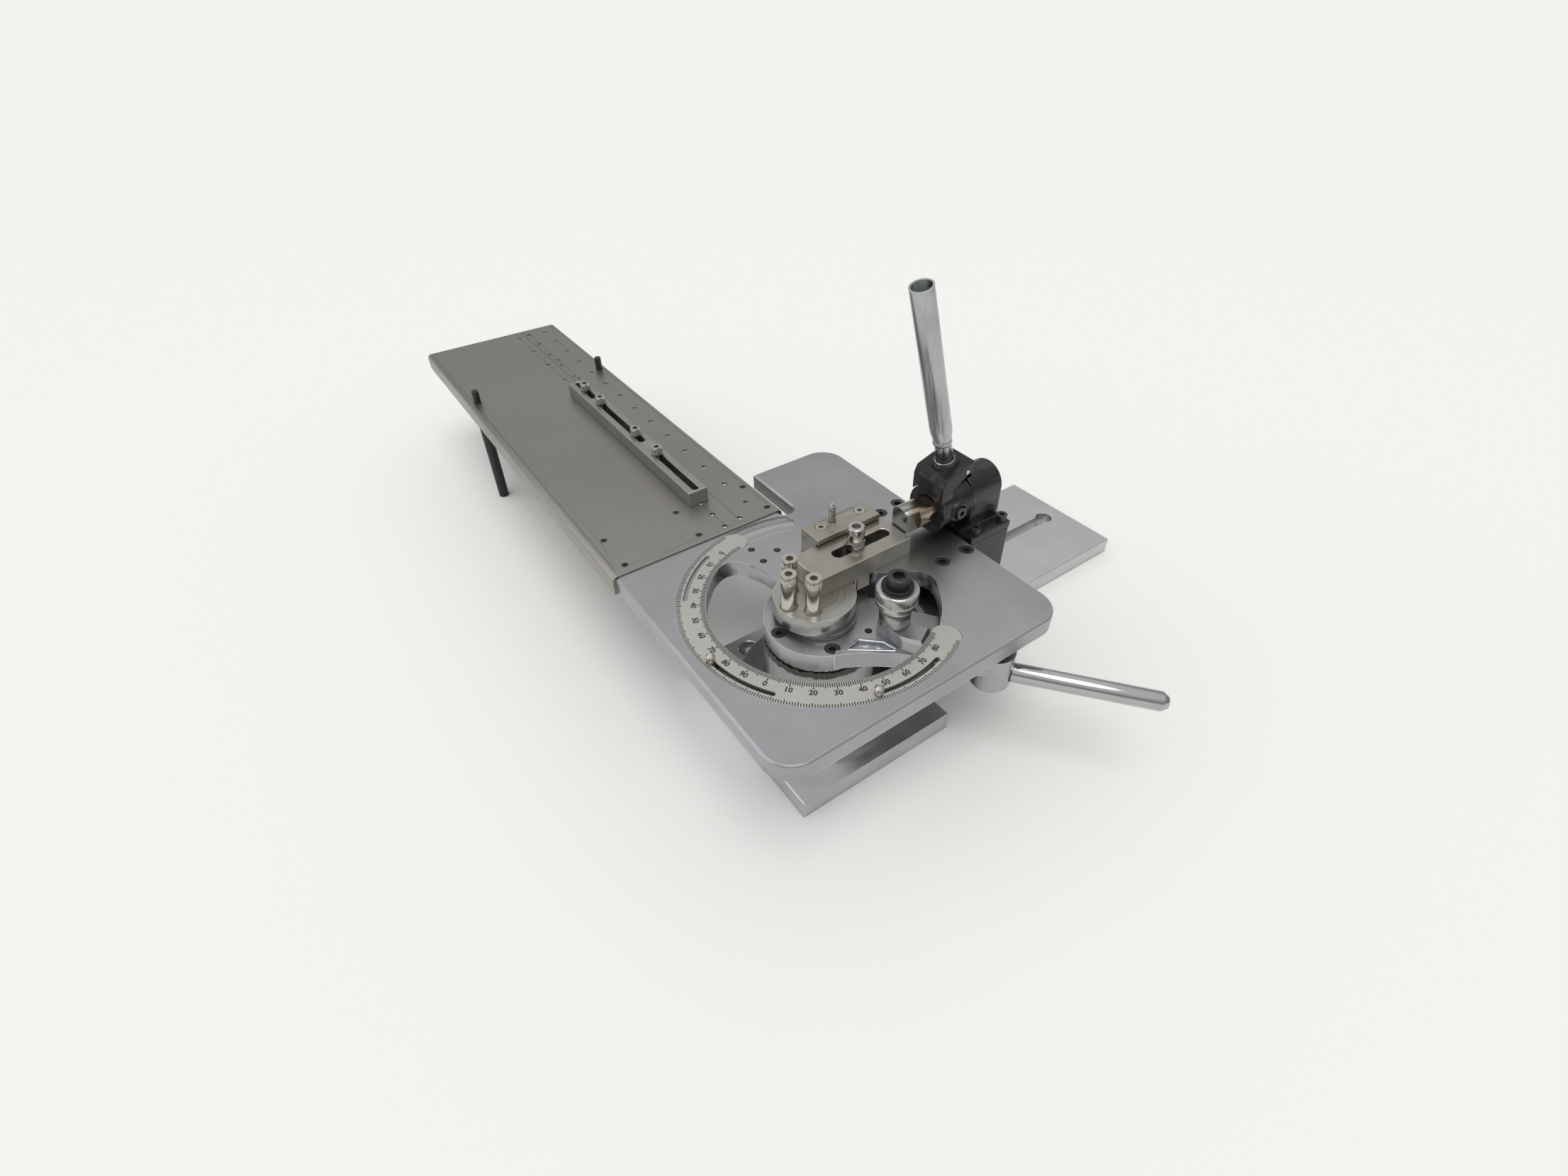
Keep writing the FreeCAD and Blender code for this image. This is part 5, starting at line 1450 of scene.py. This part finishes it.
@dataclass
class Fence:
    """The slotted fence bar with its screws."""

    palette: Palette
    middle: float = -14.4
    head_low: float = 148.6
    head_radius: float = 5.2
    head_tall: float = 6.0
    head_ridges: int = 22
    screws: Sequence[float] = (258.0, 306.0, 395.0, 437.0)

    def build(self) -> None:
        """Dresses the fence and adds its screws' knurls."""
        dress(self.palette["fence_ground"], "fence_bar", bevel=0.4)
        dress(self.palette["screw_bright"], "fence_screws", bevel=0.15)
        dress(self.palette["screw_black"], "fence_nuts")
        ridges = Shape()
        for y in self.screws:
            foot = (self.middle, y, self.head_low)
            knurl(ridges, foot, self.head_radius, self.head_tall, self.head_ridges)
        ridges.piece("fence_knurls", "frame", self.palette["screw_bright"], smooth=20.0)


# Studio


@dataclass
class Studio:
    """The floor, lamps, world and camera."""

    eye: Point = (-296.5, -379.5, 555.7)
    ahead: Point = (0.43866, 0.63980, -0.63106)
    right: Point = (0.81878, -0.57397, -0.01278)
    lens: float = 17.70
    sensor: float = 36.0
    shift_y: float = -0.0147
    floor_level: float = -0.3
    floor_half: float = 60000.0
    floor_colour: Colour = (0.86, 0.86, 0.835)
    horizon: Colour = (0.34, 0.35, 0.365)
    zenith: Colour = (1.0, 1.0, 0.99)
    window: Colour = (1.5, 1.52, 1.56)
    window_from: Point = (-0.78, 0.35, 0.5)
    window_stops: Sequence[tuple[float, float]] = ((0.86, 0.0), (0.93, 1.0))
    sky_stops: Sequence[tuple[float, float]] = ((0.0, 0.5), (0.1, 0.35), (0.22, 0.0), (0.7, 1.0))
    sky_strength: float = 0.82
    sun_power: float = 0.95
    sun_spread: float = 38.0
    sun_from: Point = (-0.12, -0.28, 1.0)
    clip: tuple[float, float] = (0.01, 200.0)

    def build(self) -> None:
        """Makes the whole studio."""
        self.floor()
        self.world()
        self.sun()
        self.camera()

    def floor(self) -> None:
        """Makes the pale floor."""
        shader = Shader(bpy.data.materials.new("floor_pale"))
        shader.finish(Base_Color=(*self.floor_colour, 1.0), Roughness=0.9, Specular_IOR_Level=0.1)
        half, level = self.floor_half * MM, self.floor_level * MM
        corners = [(-half, -half, level), (half, -half, level), (half, half, level),
                   (-half, half, level)]
        mesh = bpy.data.meshes.new("floor")
        mesh.from_pydata(corners, [], [(0, 1, 2, 3)])
        mesh.materials.append(shader.owner)
        floor = bpy.data.objects.new("floor", mesh)
        bpy.context.scene.collection.objects.link(floor)

    def world(self) -> None:
        """Makes a soft sky, darkest a little above the horizon, with one round pale window."""
        world = bpy.data.worlds.new("soft_sky")
        bpy.context.scene.world = world
        shader = Shader(world)
        sight = shader.node("ShaderNodeTexCoord", output="Generated")
        height = shader.height(sight)
        rise = shader.ramp(height, *self.sky_stops)
        colour = shader.mix(rise, self.horizon, self.zenith)
        aim = Vector(self.window_from).normalized()
        facing = shader.vector("DOT_PRODUCT", sight, tuple(aim), output="Value")
        colour = shader.mix(shader.ramp(facing, *self.window_stops), colour, self.window)
        inputs = {"Color": colour, "Strength": self.sky_strength}
        back = shader.node("ShaderNodeBackground", None, inputs)
        shader.end("ShaderNodeOutputWorld", back)

    def sun(self) -> None:
        """Makes the broad overhead lamp that throws the soft shadows."""
        data = bpy.data.lights.new("overhead", "SUN")
        data.energy = self.sun_power
        data.angle = math.radians(self.sun_spread)
        lamp = bpy.data.objects.new("overhead", data)
        lamp.rotation_mode = "QUATERNION"
        lamp.rotation_quaternion = (-Vector(self.sun_from)).to_track_quat("-Z", "Y")
        lamp.location = Vector(self.sun_from)
        bpy.context.scene.collection.objects.link(lamp)

    def camera(self) -> None:
        """Makes the camera at the photograph's angle."""
        data = bpy.data.cameras.new("camera")
        data.lens = self.lens
        data.sensor_width = self.sensor
        data.shift_y = self.shift_y
        data.clip_start, data.clip_end = self.clip
        camera = bpy.data.objects.new("camera", data)
        ahead, right = Vector(self.ahead).normalized(), Vector(self.right).normalized()
        up = right.cross(ahead)
        turn = Matrix((right, up, -ahead)).transposed()
        camera.matrix_world = Matrix.Translation(Vector(self.eye) * MM) @ turn.to_4x4()
        bpy.context.scene.collection.objects.link(camera)
        bpy.context.scene.camera = camera


def main() -> None:
    """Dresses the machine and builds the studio."""
    logging.basicConfig(level=logging.INFO, format="%(name)s: %(message)s")
    palette = Palette()
    for part in (Stand, TopPlate, Dial, Mandrel, SwingArm, PushClamp, RuledTable, Fence):
        part(palette).build()
        LOG.info("finished %s", part.__name__)
    Studio().build()
    bpy.context.scene.view_settings.view_transform = "Standard"


if __name__ == "__main__":
    main()
